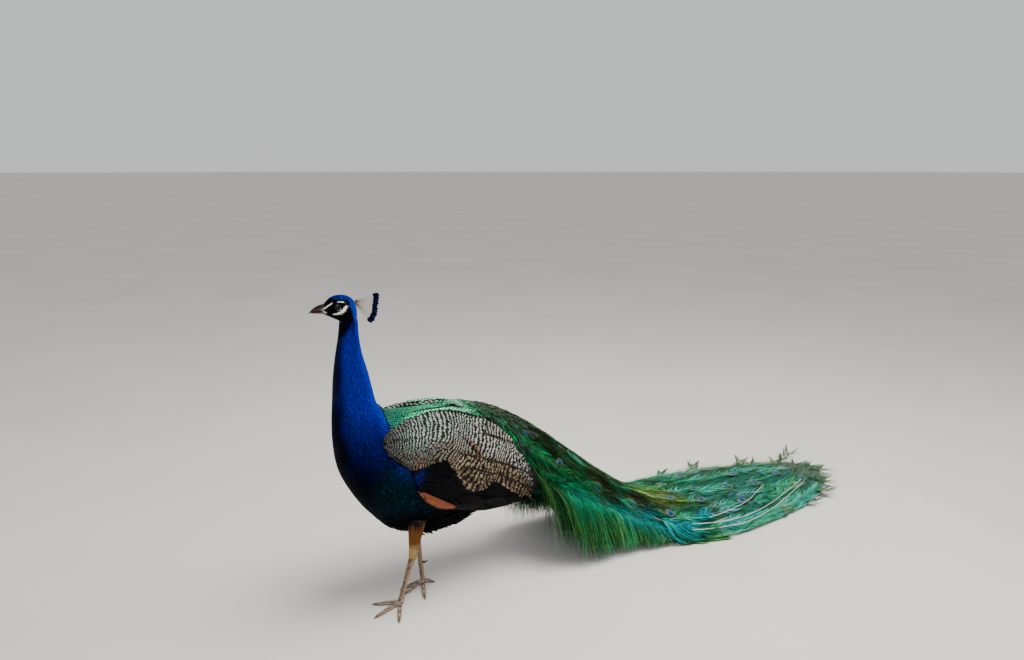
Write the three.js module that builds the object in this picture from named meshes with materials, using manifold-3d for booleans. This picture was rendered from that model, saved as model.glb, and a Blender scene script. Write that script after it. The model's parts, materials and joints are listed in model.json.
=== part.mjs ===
// A life-size peacock (Indian peafowl, adult male) standing with its train laid out behind it.
// Millimetres, +Z up. The bird faces -Y and its left side is +X. Every solid carries its share
// of the plumage, so the solids give the outline out to the feather tips.
import * as THREE from "three";
import { mergeVertices } from "three/addons/utils/BufferGeometryUtils.js";
import Module from "manifold-3d";

const wasm = await Module();
wasm.setup();

// ---------------------------------------------------------------- driving sizes
const GAP = 0.4; // clearance between neighbouring solids
const FLOOR = 0; // level of the soles and of the train's underside

// Body from the head's base to the rump: each row is one section through neck or trunk, as
// [y and z on the back line, y and z on the front line, half width]
const BODY = [
  [-135, 858, -180, 858, 21],
  [-134, 822, -182, 820, 23],
  [-133, 780, -188, 776, 26],
  [-127, 735, -198, 726, 32],
  [-114, 686, -206, 668, 41],
  [-104, 638, -210, 606, 51],
  [-94, 596, -213, 545, 63],
  [-70, 565, -211, 482, 78],
  [-40, 556, -200, 416, 92],
  [-12, 553, -170, 352, 101],
  [24, 551, -127, 288, 108],
  [62, 550, -68, 231, 112],
  [100, 547, 4, 197, 113],
  [140, 537, 72, 184, 111],
  [180, 524, 136, 185, 105],
  [220, 509, 194, 203, 95],
  [262, 492, 246, 233, 82],
  [305, 473, 297, 275, 66],
  [348, 451, 345, 318, 50],
  [390, 428, 389, 354, 34],
  [418, 412, 418, 376, 20],
];
const WIDEST = [0.5, 0.56]; // share of a section, front to back, at which neck and trunk are widest
const BODY_CUTS = { neck: [-108, 660, -207, 642], breast: [-68, 562, -212, 482],
  belly: [40, 565, -45, 220], rump: [232, 520, 208, 200] };

// Head, in its own frame: origin between the eyes, +f towards the bill tip
const HEAD_AT = [2, -186, 860];
const HEAD_YAW = -20; // degrees, turned to the bird's right
const HEAD = [
  // [f, top z, bottom z, half width]
  [-46, -8, -24, 6],
  [-43, 5, -36, 12],
  [-37, 16, -42, 17],
  [-26, 25, -44, 20.5],
  [-13, 29, -42, 21],
  [2, 29, -34, 19.5],
  [14, 26, -28, 17],
  [24, 19, -23, 13],
  [33, 9, -18, 9.5],
];
const BILL_UPPER = [
  // [f, top z, bottom z, half width]
  [24, 9, -9, 7.5],
  [33, 8, -9, 8.2],
  [43, 5.5, -9.2, 7.2],
  [54, 0.5, -9.6, 5.4],
  [64, -5.5, -10.6, 3.3],
  [72, -11, -13.5, 1.4],
];
const BILL_LOWER = [
  [24, -9.4, -17, 7.2],
  [33, -9.4, -16.8, 7.4],
  [43, -9.6, -16, 6.4],
  [54, -10, -15, 4.6],
  [66, -11.4, -14, 2.2],
];
const EYE = { f: 3.5, z: 1.6, side: 13.2, radius: 8 };

// Crest: a fan of bare shafts behind the crown, each with a small paddle
const CREST = { f: -45, z: 12, count: 12, length: 57, droop: 6, top: 20, bottom: -51,
  shaft: 0.6, paddle: [6.5, 3.8, 1.6] };

// Folded wing: the outline of the whole wing beyond the body [y, top z, bottom z, half width],
// and its parts as outlines in side view [y, z] with the depth of their feathers
const WING = [
  [-60, 540, 380, 96],
  [0, 566, 310, 120],
  [60, 566, 270, 129],
  [130, 556, 228, 130],
  [200, 534, 200, 124],
  [270, 500, 184, 114],
  [330, 452, 184, 103],
  [370, 400, 196, 92],
];
const WING_WIDEST = 0.44;
const WING_HOLLOW = 16; // depth of the folded wing where it stands clear of the body
const BACK_STRIP = 38; // half width of the back left bare between the wings
const LOBES = {
  scapulars: { depth: 16, outline: [[-92, 512], [-72, 530], [-34, 547], [6, 558], [50, 568],
    [124, 560], [182, 538], [238, 498], [276, 458], [268, 448], [244, 450], [150, 474], [60, 494],
    [-30, 506]] },
  coverts: { depth: 13, outline: [[-119, 512], [-113, 480], [-92, 456], [-60, 434], [-20, 427],
    [34, 430], [66, 414], [84, 386], [112, 330], [150, 309], [186, 318], [212, 331], [282, 292],
    [352, 251], [366, 280], [345, 345], [310, 420], [270, 476], [100, 520], [-80, 540]] },
  primaries: { depth: 12, outline: [[-26, 352], [8, 312], [48, 284], [86, 276], [88, 286],
    [48, 312], [8, 344]] },
  secondaries: { depth: 10, outline: [[-40, 440], [-50, 412], [-34, 378], [-20, 340], [10, 300],
    [50, 274], [130, 258], [240, 232], [314, 222], [346, 240], [356, 262], [300, 340], [150, 400],
    [0, 450]] },
};

// Legs: joints at [x, y, z]; toes as [heading in degrees from -Y towards +X, length]
const LEGS = {
  L: { knee: [68, -12, 262], hock: [55, -23, 141], foot: [37, -56, 12],
    toes: { middle: [15, 86], outer: [60, 86], inner: [-30, 68], hind: [225, 24] } },
  R: { knee: [-64, 34, 262], hock: [-51, 51, 142], foot: [-29, 53, 12],
    toes: { middle: [22, 82], outer: [2, 66], inner: [64, 88], hind: [137, 26] } },
};
const THIGH_RADII = [27, 22, 17, 13, 11];
const SHANK = [[10, 8], [8.4, 6.4], [7.4, 5.6], [6.8, 5.4], [6.4, 6]]; // half depth, half width
const TOE_RADIUS = [5.8, 3.6]; // at the root and behind the claw
const CLAW_LENGTH = 15;
const SPUR_LENGTH = 16;

// Train: [y, centre x, ridge z, edge z, half width]; its sides hang as curtains behind the wings
const TRAIN = [
  [150, 0, 548, 530, 40],
  [205, 0, 534, 500, 52],
  [260, 0, 517, 452, 64],
  [320, 0, 489, 380, 76],
  [380, 2, 454, 276, 94],
  [440, 8, 412, 200, 112],
  [500, 14, 366, 170, 124],
  [560, 22, 316, 142, 133],
  [640, 33, 250, 108, 146],
  [720, 44, 190, 74, 166],
  [800, 55, 140, 40, 190],
  [880, 66, 104, 6, 211],
  [1000, 82, 76, -4, 232],
  [1150, 99, 62, -4, 240],
  [1330, 119, 52, -4, 222],
  [1480, 136, 43, -4, 184],
  [1600, 142, 35, -4, 140],
  [1690, 144, 27, -4, 90],
  [1735, 144, 18, -4, 46],
];
const TRAIN_DEPTH = [30, 6]; // thickness at the ridge and at the edges
const TRAIN_CURTAIN = 0.74; // share of the half width where the side curtains begin
const TRAIN_CUTS = [395, 800, 1130, 1440];
const FRINGE = { from: 470, to: 860, pitch: 23, depth: 0.62 }; // loose barbs that hang to the floor
const TIPS = { count: 7, spread: 1.05, reach: 56, prong: 34, fork: 62, thick: 4 };

// Tail, folded under the train: [y, z, half width]
const TAIL = [
  [424, 372, 24],
  [480, 326, 40],
  [560, 262, 56],
  [640, 196, 66],
  [700, 148, 60],
];
const TAIL_THICK = 9;

const WING_FINISH = { scapulars: "barred", coverts: "barred", primaries: "rufous", secondaries: "black" };
const COLOURS = {
  blue: ["#0b2fa8", 0.45], teal: ["#0b4a4a", 0.5], green: ["#1d7a4a", 0.45],
  train: ["#2a6a33", 0.55], barred: ["#8f8471", 0.7], black: ["#0d1016", 0.45],
  rufous: ["#b5572a", 0.65], buff: ["#a88350", 0.8], skin: ["#9a8c78", 0.6],
  bill: ["#6b5d55", 0.5], eye: ["#2a1508", 0.12], claw: ["#4a3f38", 0.4], tail: ["#5c4c3c", 0.7],
};

// ---------------------------------------------------------------- solids from rings
const V = (x, y, z) => new THREE.Vector3(x, y, z);
const mix = (a, b, t) => a + (b - a) * t;
const degrees = THREE.MathUtils.degToRad;

/** A closed solid from vertices and triangles, turned the right way out. */
function solidOf(points, triangles) {
  const vertProperties = new Float32Array(points.flatMap((p) => [p.x, p.y, p.z]));
  const build = (list) =>
    new wasm.Manifold(new wasm.Mesh({ numProp: 3, vertProperties, triVerts: new Uint32Array(list.flat()) }));
  const made = build(triangles);
  return made.volume() > 0 ? made : build(triangles.map(([a, b, c]) => [a, c, b]));
}

/** A solid from a three.js geometry whose vertices are merged. */
function solidFromGeometry(geometry) {
  const bare = geometry.clone();
  ["normal", "uv"].forEach((name) => bare.deleteAttribute(name));
  const merged = mergeVertices(bare, 1e-3);
  const position = merged.attributes.position;
  const points = Array.from({ length: position.count }, (_, i) => V().fromBufferAttribute(position, i));
  const index = Array.from(merged.index.array);
  const triangles = [];
  for (let i = 0; i < index.length; i += 3) triangles.push(index.slice(i, i + 3));
  return solidOf(points, triangles);
}

/** Rows of a table at `count` even steps, on a Catmull-Rom curve through every column. */
function sampled(table, count) {
  const last = table.length - 1;
  const row = (i) => table[Math.min(Math.max(i, 0), last)];
  return Array.from({ length: count }, (_, n) => {
    const place = (n / (count - 1)) * last;
    const i = Math.min(Math.floor(place), last - 1);
    const t = place - i;
    return row(i).map((_, k) => {
      const [a, b, c, d] = [-1, 0, 1, 2].map((step) => row(i + step)[k]);
      return 0.5 * (2 * b + (c - a) * t + (2 * a - 5 * b + 4 * c - d) * t * t +
        (3 * b - a - 3 * c + d) * t * t * t);
    });
  });
}

/** Skin over rings. A ring is {at, side, up, width, top, bottom}: two half ellipses on one centre. */
function loft(rings, sides = 18) {
  const points = [];
  for (const ring of rings)
    for (let k = 0; k < sides; k++) {
      const angle = (2 * Math.PI * k) / sides;
      const rise = Math.sin(angle) * (Math.sin(angle) > 0 ? ring.top : ring.bottom);
      points.push(ring.at.clone().addScaledVector(ring.side, Math.cos(angle) * ring.width)
        .addScaledVector(ring.up, rise));
    }
  const triangles = [];
  for (let i = 0; i + 1 < rings.length; i++)
    for (let k = 0; k < sides; k++) {
      const [a, b] = [i * sides + k, i * sides + ((k + 1) % sides)];
      triangles.push([a, b, a + sides], [b, b + sides, a + sides]);
    }
  const first = points.push(rings[0].at.clone()) - 1;
  const end = points.push(rings.at(-1).at.clone()) - 1;
  const start = (rings.length - 1) * sides;
  for (let k = 0; k < sides; k++) {
    const next = (k + 1) % sides;
    triangles.push([first, next, k], [end, start + k, start + next]);
  }
  return solidOf(points, triangles);
}

/** Loft along Y from a table of [y, top, bottom, half width], widest at a share of the height. */
function bodyAlongY(table, count, widest, sides) {
  return loft(sampled(table, count).map(([y, top, bottom, width]) => {
    const middle = mix(bottom, top, widest);
    return { at: V(0, y, middle), side: V(1, 0, 0), up: V(0, 0, 1), width,
      top: top - middle, bottom: middle - bottom };
  }), sides);
}

/** Loft through sections that each run from a point on the front line to one on the back line. */
function bodyBetweenLines(table, count, widest, sides) {
  return loft(sampled(table, count).map(([backY, backZ, frontY, frontZ, width], i) => {
    const [back, front] = [V(0, backY, backZ), V(0, frontY, frontZ)];
    const at = front.clone().lerp(back, mix(...widest, i / (count - 1)));
    return { at, side: V(1, 0, 0), up: back.clone().sub(front).normalize(), width,
      top: at.distanceTo(back), bottom: at.distanceTo(front) };
  }), sides);
}

/**
 * A limb through points. Each size is a radius, or a half depth and a half width; `across` is the
 * direction of the width, level and square to the limb unless it is given.
 */
function limb(points, sizes, count = 7, sides = 8, across = null) {
  const curve = new THREE.CatmullRomCurve3(points);
  const rows = sampled(sizes.map((size) => (Array.isArray(size) ? size : [size, size])), count);
  return loft(rows.map(([depth, width], i) => {
    const along = curve.getTangent(i / (count - 1));
    const side = across ? across.clone().projectOnPlane(along) : V(0, 0, 1).cross(along);
    side.normalize();
    const up = along.clone().cross(side).normalize();
    return { at: curve.getPoint(i / (count - 1)), side, up, width, top: depth, bottom: depth };
  }), sides);
}

/** A sheet from sections of matching upper and lower points. */
function sheet(sections) {
  const points = [];
  const rows = sections.length;
  const across = sections[0].top.length;
  for (const { top, bottom } of sections) points.push(...top, ...bottom);
  const top = (i, k) => i * 2 * across + k;
  const low = (i, k) => top(i, k) + across;
  const triangles = [];
  const quad = (a, b, c, d) => triangles.push([a, b, c], [a, c, d]);
  for (let i = 0; i + 1 < rows; i++) {
    for (let k = 0; k + 1 < across; k++) {
      quad(top(i, k), top(i, k + 1), top(i + 1, k + 1), top(i + 1, k));
      quad(low(i, k + 1), low(i, k), low(i + 1, k), low(i + 1, k + 1));
    }
    quad(low(i, 0), top(i, 0), top(i + 1, 0), low(i + 1, 0));
    quad(top(i, across - 1), low(i, across - 1), low(i + 1, across - 1), top(i + 1, across - 1));
  }
  for (let k = 0; k + 1 < across; k++) {
    quad(top(0, k + 1), top(0, k), low(0, k), low(0, k + 1));
    quad(top(rows - 1, k), top(rows - 1, k + 1), low(rows - 1, k + 1), low(rows - 1, k));
  }
  return solidOf(points, triangles);
}

/** The same solid with every face moved outwards by `by`: each vertex is pushed until it clears them all. */
function grown(solid, by = GAP) {
  const mesh = solid.getMesh();
  const step = mesh.numProp;
  const points = [];
  for (let i = 0; i < mesh.numVert; i++)
    points.push(V(...mesh.vertProperties.subarray(i * step, i * step + 3)));
  const normals = points.map(() => []);
  const triangles = [];
  for (let i = 0; i < mesh.triVerts.length; i += 3) {
    const [a, b, c] = mesh.triVerts.subarray(i, i + 3);
    triangles.push([a, b, c]);
    const face = points[b].clone().sub(points[a]).cross(points[c].clone().sub(points[a]));
    if (face.length() > 1e-6) [a, b, c].forEach((v) => normals[v].push(face.clone().normalize()));
  }
  const moved = points.map((point, i) => {
    const push = V(0, 0, 0);
    for (let pass = 0; pass < 12; pass++)
      for (const normal of normals[i]) {
        const short = by - normal.dot(push);
        if (by > 0 ? short > 0 : short < 0) push.addScaledVector(normal, short);
      }
    return point.clone().add(push.clampLength(0, 4 * Math.abs(by)));
  });
  return solidOf(moved, triangles);
}

/** A flat outline in the Y-Z plane, pushed through from x = from to x = to. */
function plate(outline, from, to) {
  const shape = new THREE.Shape();
  shape.moveTo(...outline[0]);
  shape.splineThru([...outline.slice(1), outline[0]].map(([y, z]) => new THREE.Vector2(y, z)));
  const geometry = new THREE.ExtrudeGeometry(shape, { depth: Math.abs(to - from), bevelEnabled: false,
    curveSegments: 1 });
  const axes = new THREE.Matrix4().makeBasis(V(0, 1, 0), V(0, 0, 1), V(1, 0, 0));
  geometry.applyMatrix4(axes).translate(Math.min(from, to), 0, 0);
  return solidFromGeometry(geometry);
}

const above = (solid, z) => solid.trimByPlane([0, 0, 1], z);
const behind = (solid, y) => solid.trimByPlane([0, 1, 0], y);
const before = (solid, y) => solid.trimByPlane([0, -1, 0], -y);
const without = (solid, ...others) => others.reduce((left, other) => left.subtract(grown(other)), solid);

/** A solid parted along the line from a point on its back to one on its front: [head side, tail side]. */
function parted(solid, [y0, z0, y1, z1], gap = GAP) {
  const normal = V(0, z1 - z0, y0 - y1).normalize();
  const offset = normal.dot(V(0, y0, z0));
  return [solid.trimByPlane(normal.toArray(), offset + gap / 2),
    solid.trimByPlane(normal.clone().negate().toArray(), -offset + gap / 2)];
}

/** The largest body of a solid, so that a cut leaves no crumbs. */
function whole(solid) {
  if (solid.isEmpty()) throw new Error("a cut left nothing");
  return solid.decompose().sort((a, b) => b.volume() - a.volume())[0];
}

// ---------------------------------------------------------------- nodes
const bird = new THREE.Group();
const finishes = Object.fromEntries(Object.entries(COLOURS).map(([name, [color, roughness]]) =>
  [name, new THREE.MeshStandardMaterial({ color, roughness, metalness: 0 })]));

function add(name, solid, finish) {
  const mesh = whole(solid).getMesh();
  const step = mesh.numProp;
  const position = new Float32Array(mesh.numVert * 3);
  for (let i = 0; i < mesh.numVert; i++)
    position.set(mesh.vertProperties.subarray(i * step, i * step + 3), i * 3);
  const geometry = new THREE.BufferGeometry();
  geometry.setAttribute("position", new THREE.BufferAttribute(position, 3));
  geometry.setIndex(new THREE.BufferAttribute(mesh.triVerts, 1));
  geometry.computeVertexNormals();
  const node = new THREE.Mesh(geometry, finishes[finish]);
  node.name = name;
  bird.add(node);
}

const body = bodyBetweenLines(BODY, 18, WIDEST, 14);

// ---------------------------------------------------------------- head
const headFrame = new THREE.Matrix4().makeRotationZ(degrees(HEAD_YAW)).setPosition(...HEAD_AT);
const inHead = (side, f, z) => V(side, -f, z).applyMatrix4(headFrame);
const headSide = V(1, 0, 0).transformDirection(headFrame);

function headLoft(table, count, sides, widest = 0.55) {
  return loft(sampled(table, count).map(([f, top, bottom, width]) => {
    const middle = mix(bottom, top, widest);
    return { at: inHead(0, f, middle), side: headSide, up: V(0, 0, 1), width,
      top: top - middle, bottom: middle - bottom };
  }), sides);
}

function eyeSolid(side) {
  const ball = new THREE.SphereGeometry(EYE.radius, 10, 6);
  const at = inHead(side * EYE.side, EYE.f, EYE.z);
  return solidFromGeometry(ball.translate(at.x, at.y, at.z));
}

/** Bare shafts fanned in the head's middle plane, each ending in a small flat paddle. */
function crestSolid() {
  const [paddleLength, paddleWidth, paddleDepth] = CREST.paddle;
  let fan = headLoft([[CREST.f - 5, CREST.z + 2, CREST.z - 3, 1.5],
    [CREST.f + 1, CREST.z + 4, CREST.z - 6, 3], [CREST.f + 8, CREST.z + 3, CREST.z - 7, 2]], 4, 6);
  for (let i = 0; i < CREST.count; i++) {
    const share = i / (CREST.count - 1);
    const angle = degrees(mix(CREST.top, CREST.bottom, share));
    const length = CREST.length + CREST.droop * THREE.MathUtils.smoothstep(share, 0.4, 0.85);
    const outwards = (r) => inHead(0, CREST.f - Math.cos(angle) * r, CREST.z + Math.sin(angle) * r);
    const along = outwards(1).sub(outwards(0)).normalize();
    const across = along.clone().cross(headSide).normalize();
    const ring = (r, wide, thick) => ({ at: outwards(r), side: across, up: headSide.clone(),
      width: wide, top: thick, bottom: thick });
    const root = length - 2 * paddleLength;
    const rings = [ring(0, CREST.shaft, CREST.shaft), ring(root, CREST.shaft, CREST.shaft),
      ring(root + paddleLength, paddleWidth, paddleDepth),
      ring(length, paddleWidth * 0.3, paddleDepth * 0.6)];
    fan = fan.add(loft(rings, 4));
  }
  return fan;
}

const eyes = { L: eyeSolid(1), R: eyeSolid(-1) };
const billUpper = headLoft(BILL_UPPER, 6, 8, 0.2);
const billLower = headLoft(BILL_LOWER, 5, 8, 0.8);
const head = without(headLoft(HEAD, 10, 14), eyes.L, eyes.R);

add("head", head, "blue");
add("bill_upper", without(billUpper, head), "bill");
add("bill_lower", without(billLower, head, billUpper), "bill");
add("eye_L", eyes.L, "eye");
add("eye_R", eyes.R, "eye");
add("crest", without(crestSolid(), head), "blue");

let [rest, piece] = parted(without(body, head), BODY_CUTS.neck);
add("neck_upper", rest, "blue");
[rest, piece] = parted(piece, BODY_CUTS.breast);
add("neck_lower", rest, "blue");
[rest, piece] = parted(piece, BODY_CUTS.belly);
add("breast", rest, "teal");
[rest, piece] = parted(piece, BODY_CUTS.rump);
add("belly", rest, "teal");
add("rump", piece, "green");

// ---------------------------------------------------------------- legs and feet
for (const [side, leg] of Object.entries(LEGS)) {
  const [knee, hock, foot] = [leg.knee, leg.hock, leg.foot].map((p) => V(...p));
  const thigh = limb([knee, knee.clone().lerp(hock, 0.35), knee.clone().lerp(hock, 0.7), hock],
    THIGH_RADII, 5, 10, V(1, 0, 0));
  const shank = limb([hock, hock.clone().lerp(foot, 0.5), foot], SHANK, 5, 8, V(1, 0, 0));
  const inner = side === "L" ? -1 : 1;
  const spurRoot = hock.clone().lerp(foot, 0.62).add(V(inner * 2, 4, 0));
  const spur = limb([spurRoot, spurRoot.clone().add(V(inner * 6, 8, 1)),
    spurRoot.clone().add(V(inner * 9, SPUR_LENGTH, 6))], [4, 2.6, 0.8], 3, 6);

  let sole = loft([0, 0.33, 0.66, 1].map((t) => {
    const size = Math.sin(mix(0.3, Math.PI - 0.3, t));
    return { at: V(foot.x, foot.y + mix(-10, 10, t), 5.5), side: V(1, 0, 0), up: V(0, 0, 1),
      width: 9 * size, top: 6 * size, bottom: 7 * size };
  }), 12);
  const claws = [];
  for (const [toe, [heading, length]] of Object.entries(leg.toes)) {
    const way = V(Math.sin(degrees(heading)), -Math.cos(degrees(heading)), 0);
    const from = V(foot.x, foot.y, 5.5);
    const to = from.clone().addScaledVector(way, length).setZ(3);
    const arch = from.clone().lerp(to, 0.45).setZ(toe === "hind" ? 6.5 : 5.2);
    sole = sole.add(limb([from, arch, to], [TOE_RADIUS[0], 5, 5.2, TOE_RADIUS[1]], 4, 6));
    const root = to.clone().addScaledVector(way, -3).setZ(4.2);
    claws.push([toe, limb([root, root.clone().addScaledVector(way, CLAW_LENGTH * 0.55).setZ(4.4),
      root.clone().addScaledVector(way, CLAW_LENGTH).setZ(1.4)], [2.8, 2.3, 0.7], 3, 5)]);
  }
  sole = above(sole, FLOOR);
  const ankle = without(above(shank, 2), thigh);
  const footSolid = without(sole, ankle);
  add(`thigh_${side}`, without(thigh, body), "buff");
  add(`shank_${side}`, ankle, "skin");
  add(`foot_${side}`, footSolid, "skin");
  add(`spur_${side}`, without(spur, ankle), "claw");
  for (const [toe, claw] of claws) add(`claw_${toe}_${side}`, above(without(claw, footSolid), 0.5), "claw");
}

// ---------------------------------------------------------------- folded wings
const wing = bodyAlongY(WING, 7, WING_WIDEST, 12);
const hollow = grown(wing, -WING_HOLLOW);

/** One lobe of a folded wing: a layer of feathers over the body, as far as its outline goes. */
function lobe(sign, { depth, outline }) {
  const layer = grown(body, depth).add(wing).subtract(hollow);
  const half = layer.trimByPlane([sign, 0, 0], BACK_STRIP);
  return whole(without(half.intersect(plate(outline, sign * 20, sign * 160)), body));
}

const lobes = [];
for (const [side, sign] of [["L", 1], ["R", -1]]) {
  const laid = [];
  for (const [name, shape] of Object.entries(LOBES)) {
    const made = whole(without(lobe(sign, shape), ...laid));
    laid.push(made);
    add(`wing_${name}_${side}`, made, WING_FINISH[name]);
  }
  lobes.push(...laid);
}

// ---------------------------------------------------------------- tail under the train
const tail = sheet(sampled(TAIL, 6).map(([y, z, width]) => {
  const across = [-1, -0.6, -0.2, 0.2, 0.6, 1];
  const at = (u, drop) => V(y * 0.02 + u * width, y, z - 16 * u * u - drop);
  return { top: across.map((u) => at(u, 0)), bottom: across.map((u) => at(u, TAIL_THICK)) };
}));

// ---------------------------------------------------------------- train
/** The train from y = from to y = to, over the share of its width from uLow to uHigh. */
function trainPiece(from, to, uLow, uHigh, across, count, fringe = false) {
  const span = TRAIN.filter(([y], i) => (TRAIN[i + 1]?.[0] ?? y) > from - 60 && (TRAIN[i - 1]?.[0] ?? y) < to + 60);
  const sections = sampled(span, count).map(([y, centre, ridge, dense, width], i) => {
    const inFringe = fringe && i % 2 === 0 && y > FRINGE.from && y < FRINGE.to;
    const hang = THREE.MathUtils.smoothstep(y, FRINGE.from, FRINGE.from + 120);
    const edge = inFringe ? mix(dense, -2, hang) : dense;
    const steps = Array.from({ length: across }, (_, k) => mix(uLow, uHigh, k / (across - 1)));
    const arch = (u) => {
      const tent = Math.pow(1 - Math.pow(Math.abs(u), 2.3), 0.62);
      return Math.abs(u) > 0.999 ? edge : dense + (ridge - dense) * tent;
    };
    const depth = (u) => mix(TRAIN_DEPTH[0], TRAIN_DEPTH[1], Math.pow(Math.abs(u), 2));
    const flat = THREE.MathUtils.smoothstep(y, 800, 900);
    const drop = (u) => mix(depth(u), arch(u) + 8, flat);
    return { top: steps.map((u) => V(centre + u * width, y, arch(u))),
      bottom: steps.map((u) => V(centre + u * width * 0.985, y, arch(u) - drop(u))) };
  });
  return before(behind(sheet(sections), from), to);
}

/** Forked tips that reach past the end of the train, fanned about its middle line. */
function fishtails() {
  const tips = [];
  for (let i = 0; i < TIPS.count; i++) {
    const u = mix(-1, 1, i / (TIPS.count - 1));
    const angle = u * TIPS.spread;
    const way = V(Math.sin(angle) + 0.1, Math.cos(angle), 0).normalize();
    const across = V(way.y, -way.x, 0);
    const start = V(136 + u * 100, 1690 - 150 * u * u, 6);
    const reach = TIPS.reach - 8 * (i % 3);
    const end = start.clone().addScaledVector(way, reach).setZ(8 + 4 * (i % 2));
    const prongs = [-1, 1].map((s) => end.clone().addScaledVector(way, TIPS.prong * 0.75)
      .addScaledVector(across, s * TIPS.fork * 0.5));
    const strip = (a, b, wide, narrow) => {
      const along = b.clone().sub(a).normalize();
      const side = V(along.y, -along.x, 0).normalize();
      const row = (p, w) => ({
        top: [-w, w].map((x) => p.clone().addScaledVector(side, x)),
        bottom: [-w, w].map((x) => p.clone().addScaledVector(side, x).add(V(0, 0, -TIPS.thick))),
      });
      return sheet([row(a, wide), row(b, narrow)]);
    };
    tips.push(strip(start.clone().addScaledVector(way, -30), end, 9, 6));
    prongs.forEach((p) => tips.push(strip(end.clone().addScaledVector(way, -6), p, 6.5, 1.5)));
  }
  return tips.reduce((all, tip) => all.add(tip));
}

const fit = (solid, ...others) => above(without(solid, ...others), FLOOR);
const clearOfWings = (solid) => lobes.reduce((left, layer) => left.subtract(grown(layer, 3 * GAP)), solid);
const [fold, lay, fan, end] = TRAIN_CUTS;
add("tail", without(tail, body), "tail");
const trainBack = fit(clearOfWings(trainPiece(150, fold, -TRAIN_CURTAIN, TRAIN_CURTAIN, 5, 7)), body);
const trainRidge = fit(trainPiece(fold + GAP, lay, -TRAIN_CURTAIN, TRAIN_CURTAIN, 7, 9), body, tail);
add("train_back", trainBack, "train");
add("train_ridge", trainRidge, "train");
for (const [side, low, high] of [["L", TRAIN_CURTAIN, 1], ["R", -1, -TRAIN_CURTAIN]])
  add(`train_curtain_${side}`, fit(clearOfWings(trainPiece(330, lay, low, high, 3, 27, true)),
    body, tail, trainBack, trainRidge), "train");
add("train_floor", fit(trainPiece(lay + GAP, fan, -1, 1, 9, 9)), "train");
add("train_fan", fit(trainPiece(fan + GAP, end, -1, 1, 9, 6)), "train");
add("train_end", fit(trainPiece(end + GAP, 1800, -1, 1, 9, 7).add(fishtails())), "train");

// ---------------------------------------------------------------- origin under the middle of the bird
const box = new THREE.Box3().setFromObject(bird);
const centre = box.getCenter(V());
bird.position.set(-centre.x, -centre.y, 0);

export default bird;
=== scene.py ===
"""A life-size peacock: skin, feathers, head, legs and train built round a frame of plain solids.

Millimetre tables are in the bird's own frame: it faces -Y, its left side is +X, and the origin is
on the floor between its feet. Meshes are made in metres in the frame that the solids use.
"""
import json
import math

import bmesh
import bpy
import numpy as np
from bpy.props import FloatProperty, FloatVectorProperty, IntProperty, PointerProperty
from bpy.types import Operator, Panel, PropertyGroup
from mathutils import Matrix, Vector
from mathutils.bvhtree import BVHTree


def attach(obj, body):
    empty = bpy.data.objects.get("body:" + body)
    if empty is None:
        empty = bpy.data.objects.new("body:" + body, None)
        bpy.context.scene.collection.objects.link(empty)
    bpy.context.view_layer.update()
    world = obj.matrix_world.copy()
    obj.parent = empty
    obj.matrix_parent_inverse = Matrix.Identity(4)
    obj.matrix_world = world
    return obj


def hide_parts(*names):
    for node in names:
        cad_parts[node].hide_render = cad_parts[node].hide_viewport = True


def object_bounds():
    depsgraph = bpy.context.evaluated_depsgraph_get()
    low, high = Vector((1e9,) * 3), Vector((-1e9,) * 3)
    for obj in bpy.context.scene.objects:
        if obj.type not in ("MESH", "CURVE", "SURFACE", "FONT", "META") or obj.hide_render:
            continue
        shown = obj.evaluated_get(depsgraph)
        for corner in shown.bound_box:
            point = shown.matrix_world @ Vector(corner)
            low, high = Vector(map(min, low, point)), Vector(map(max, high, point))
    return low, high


bl_info = {
    "name": "Peacock",
    "version": (1, 0, 0),
    "blender": (4, 5, 0),
    "location": "3D View > Sidebar > Peacock",
    "description": "Builds a life-size peacock feather by feather round its frame of solids",
    "category": "Object",
}

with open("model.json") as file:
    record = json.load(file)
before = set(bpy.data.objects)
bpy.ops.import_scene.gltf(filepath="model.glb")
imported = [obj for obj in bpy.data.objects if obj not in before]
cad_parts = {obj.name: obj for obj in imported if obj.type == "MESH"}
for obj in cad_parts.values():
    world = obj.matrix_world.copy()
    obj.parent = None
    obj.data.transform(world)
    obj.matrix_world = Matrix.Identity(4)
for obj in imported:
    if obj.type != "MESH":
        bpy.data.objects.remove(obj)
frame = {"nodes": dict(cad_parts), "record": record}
cad_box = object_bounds()

MM = 0.001  # metres
LEFT_SOLE = (37.0, -56.0, 0.0)  # mm, where the left sole stands in the bird's own frame
_sole = next(m for m in frame["record"]["mounts"] if m["name"] == "left_sole")
SHIFT = np.array(_sole["pos_m"], float) - np.array(LEFT_SOLE) * MM


def linear(text):
    """An sRGB hex value as linear red, green and blue."""
    parts = [int(text[i:i + 2], 16) / 255 for i in (1, 3, 5)]
    return tuple(c / 12.92 if c <= 0.04045 else ((c + 0.055) / 1.055) ** 2.4 for c in parts)


def tone(text):
    return np.array(linear(text))


# ------------------------------------------------------------------ driving sizes, mm
CAMERA_AT = (1805.5, -952.8, 1205.0)
CAMERA_WAY = (-0.809, 0.588)  # heading over the floor
CAMERA_PITCH = math.radians(11.98)  # below level
CAMERA_LENS, CAMERA_SENSOR = 27.0, 36.0

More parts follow.
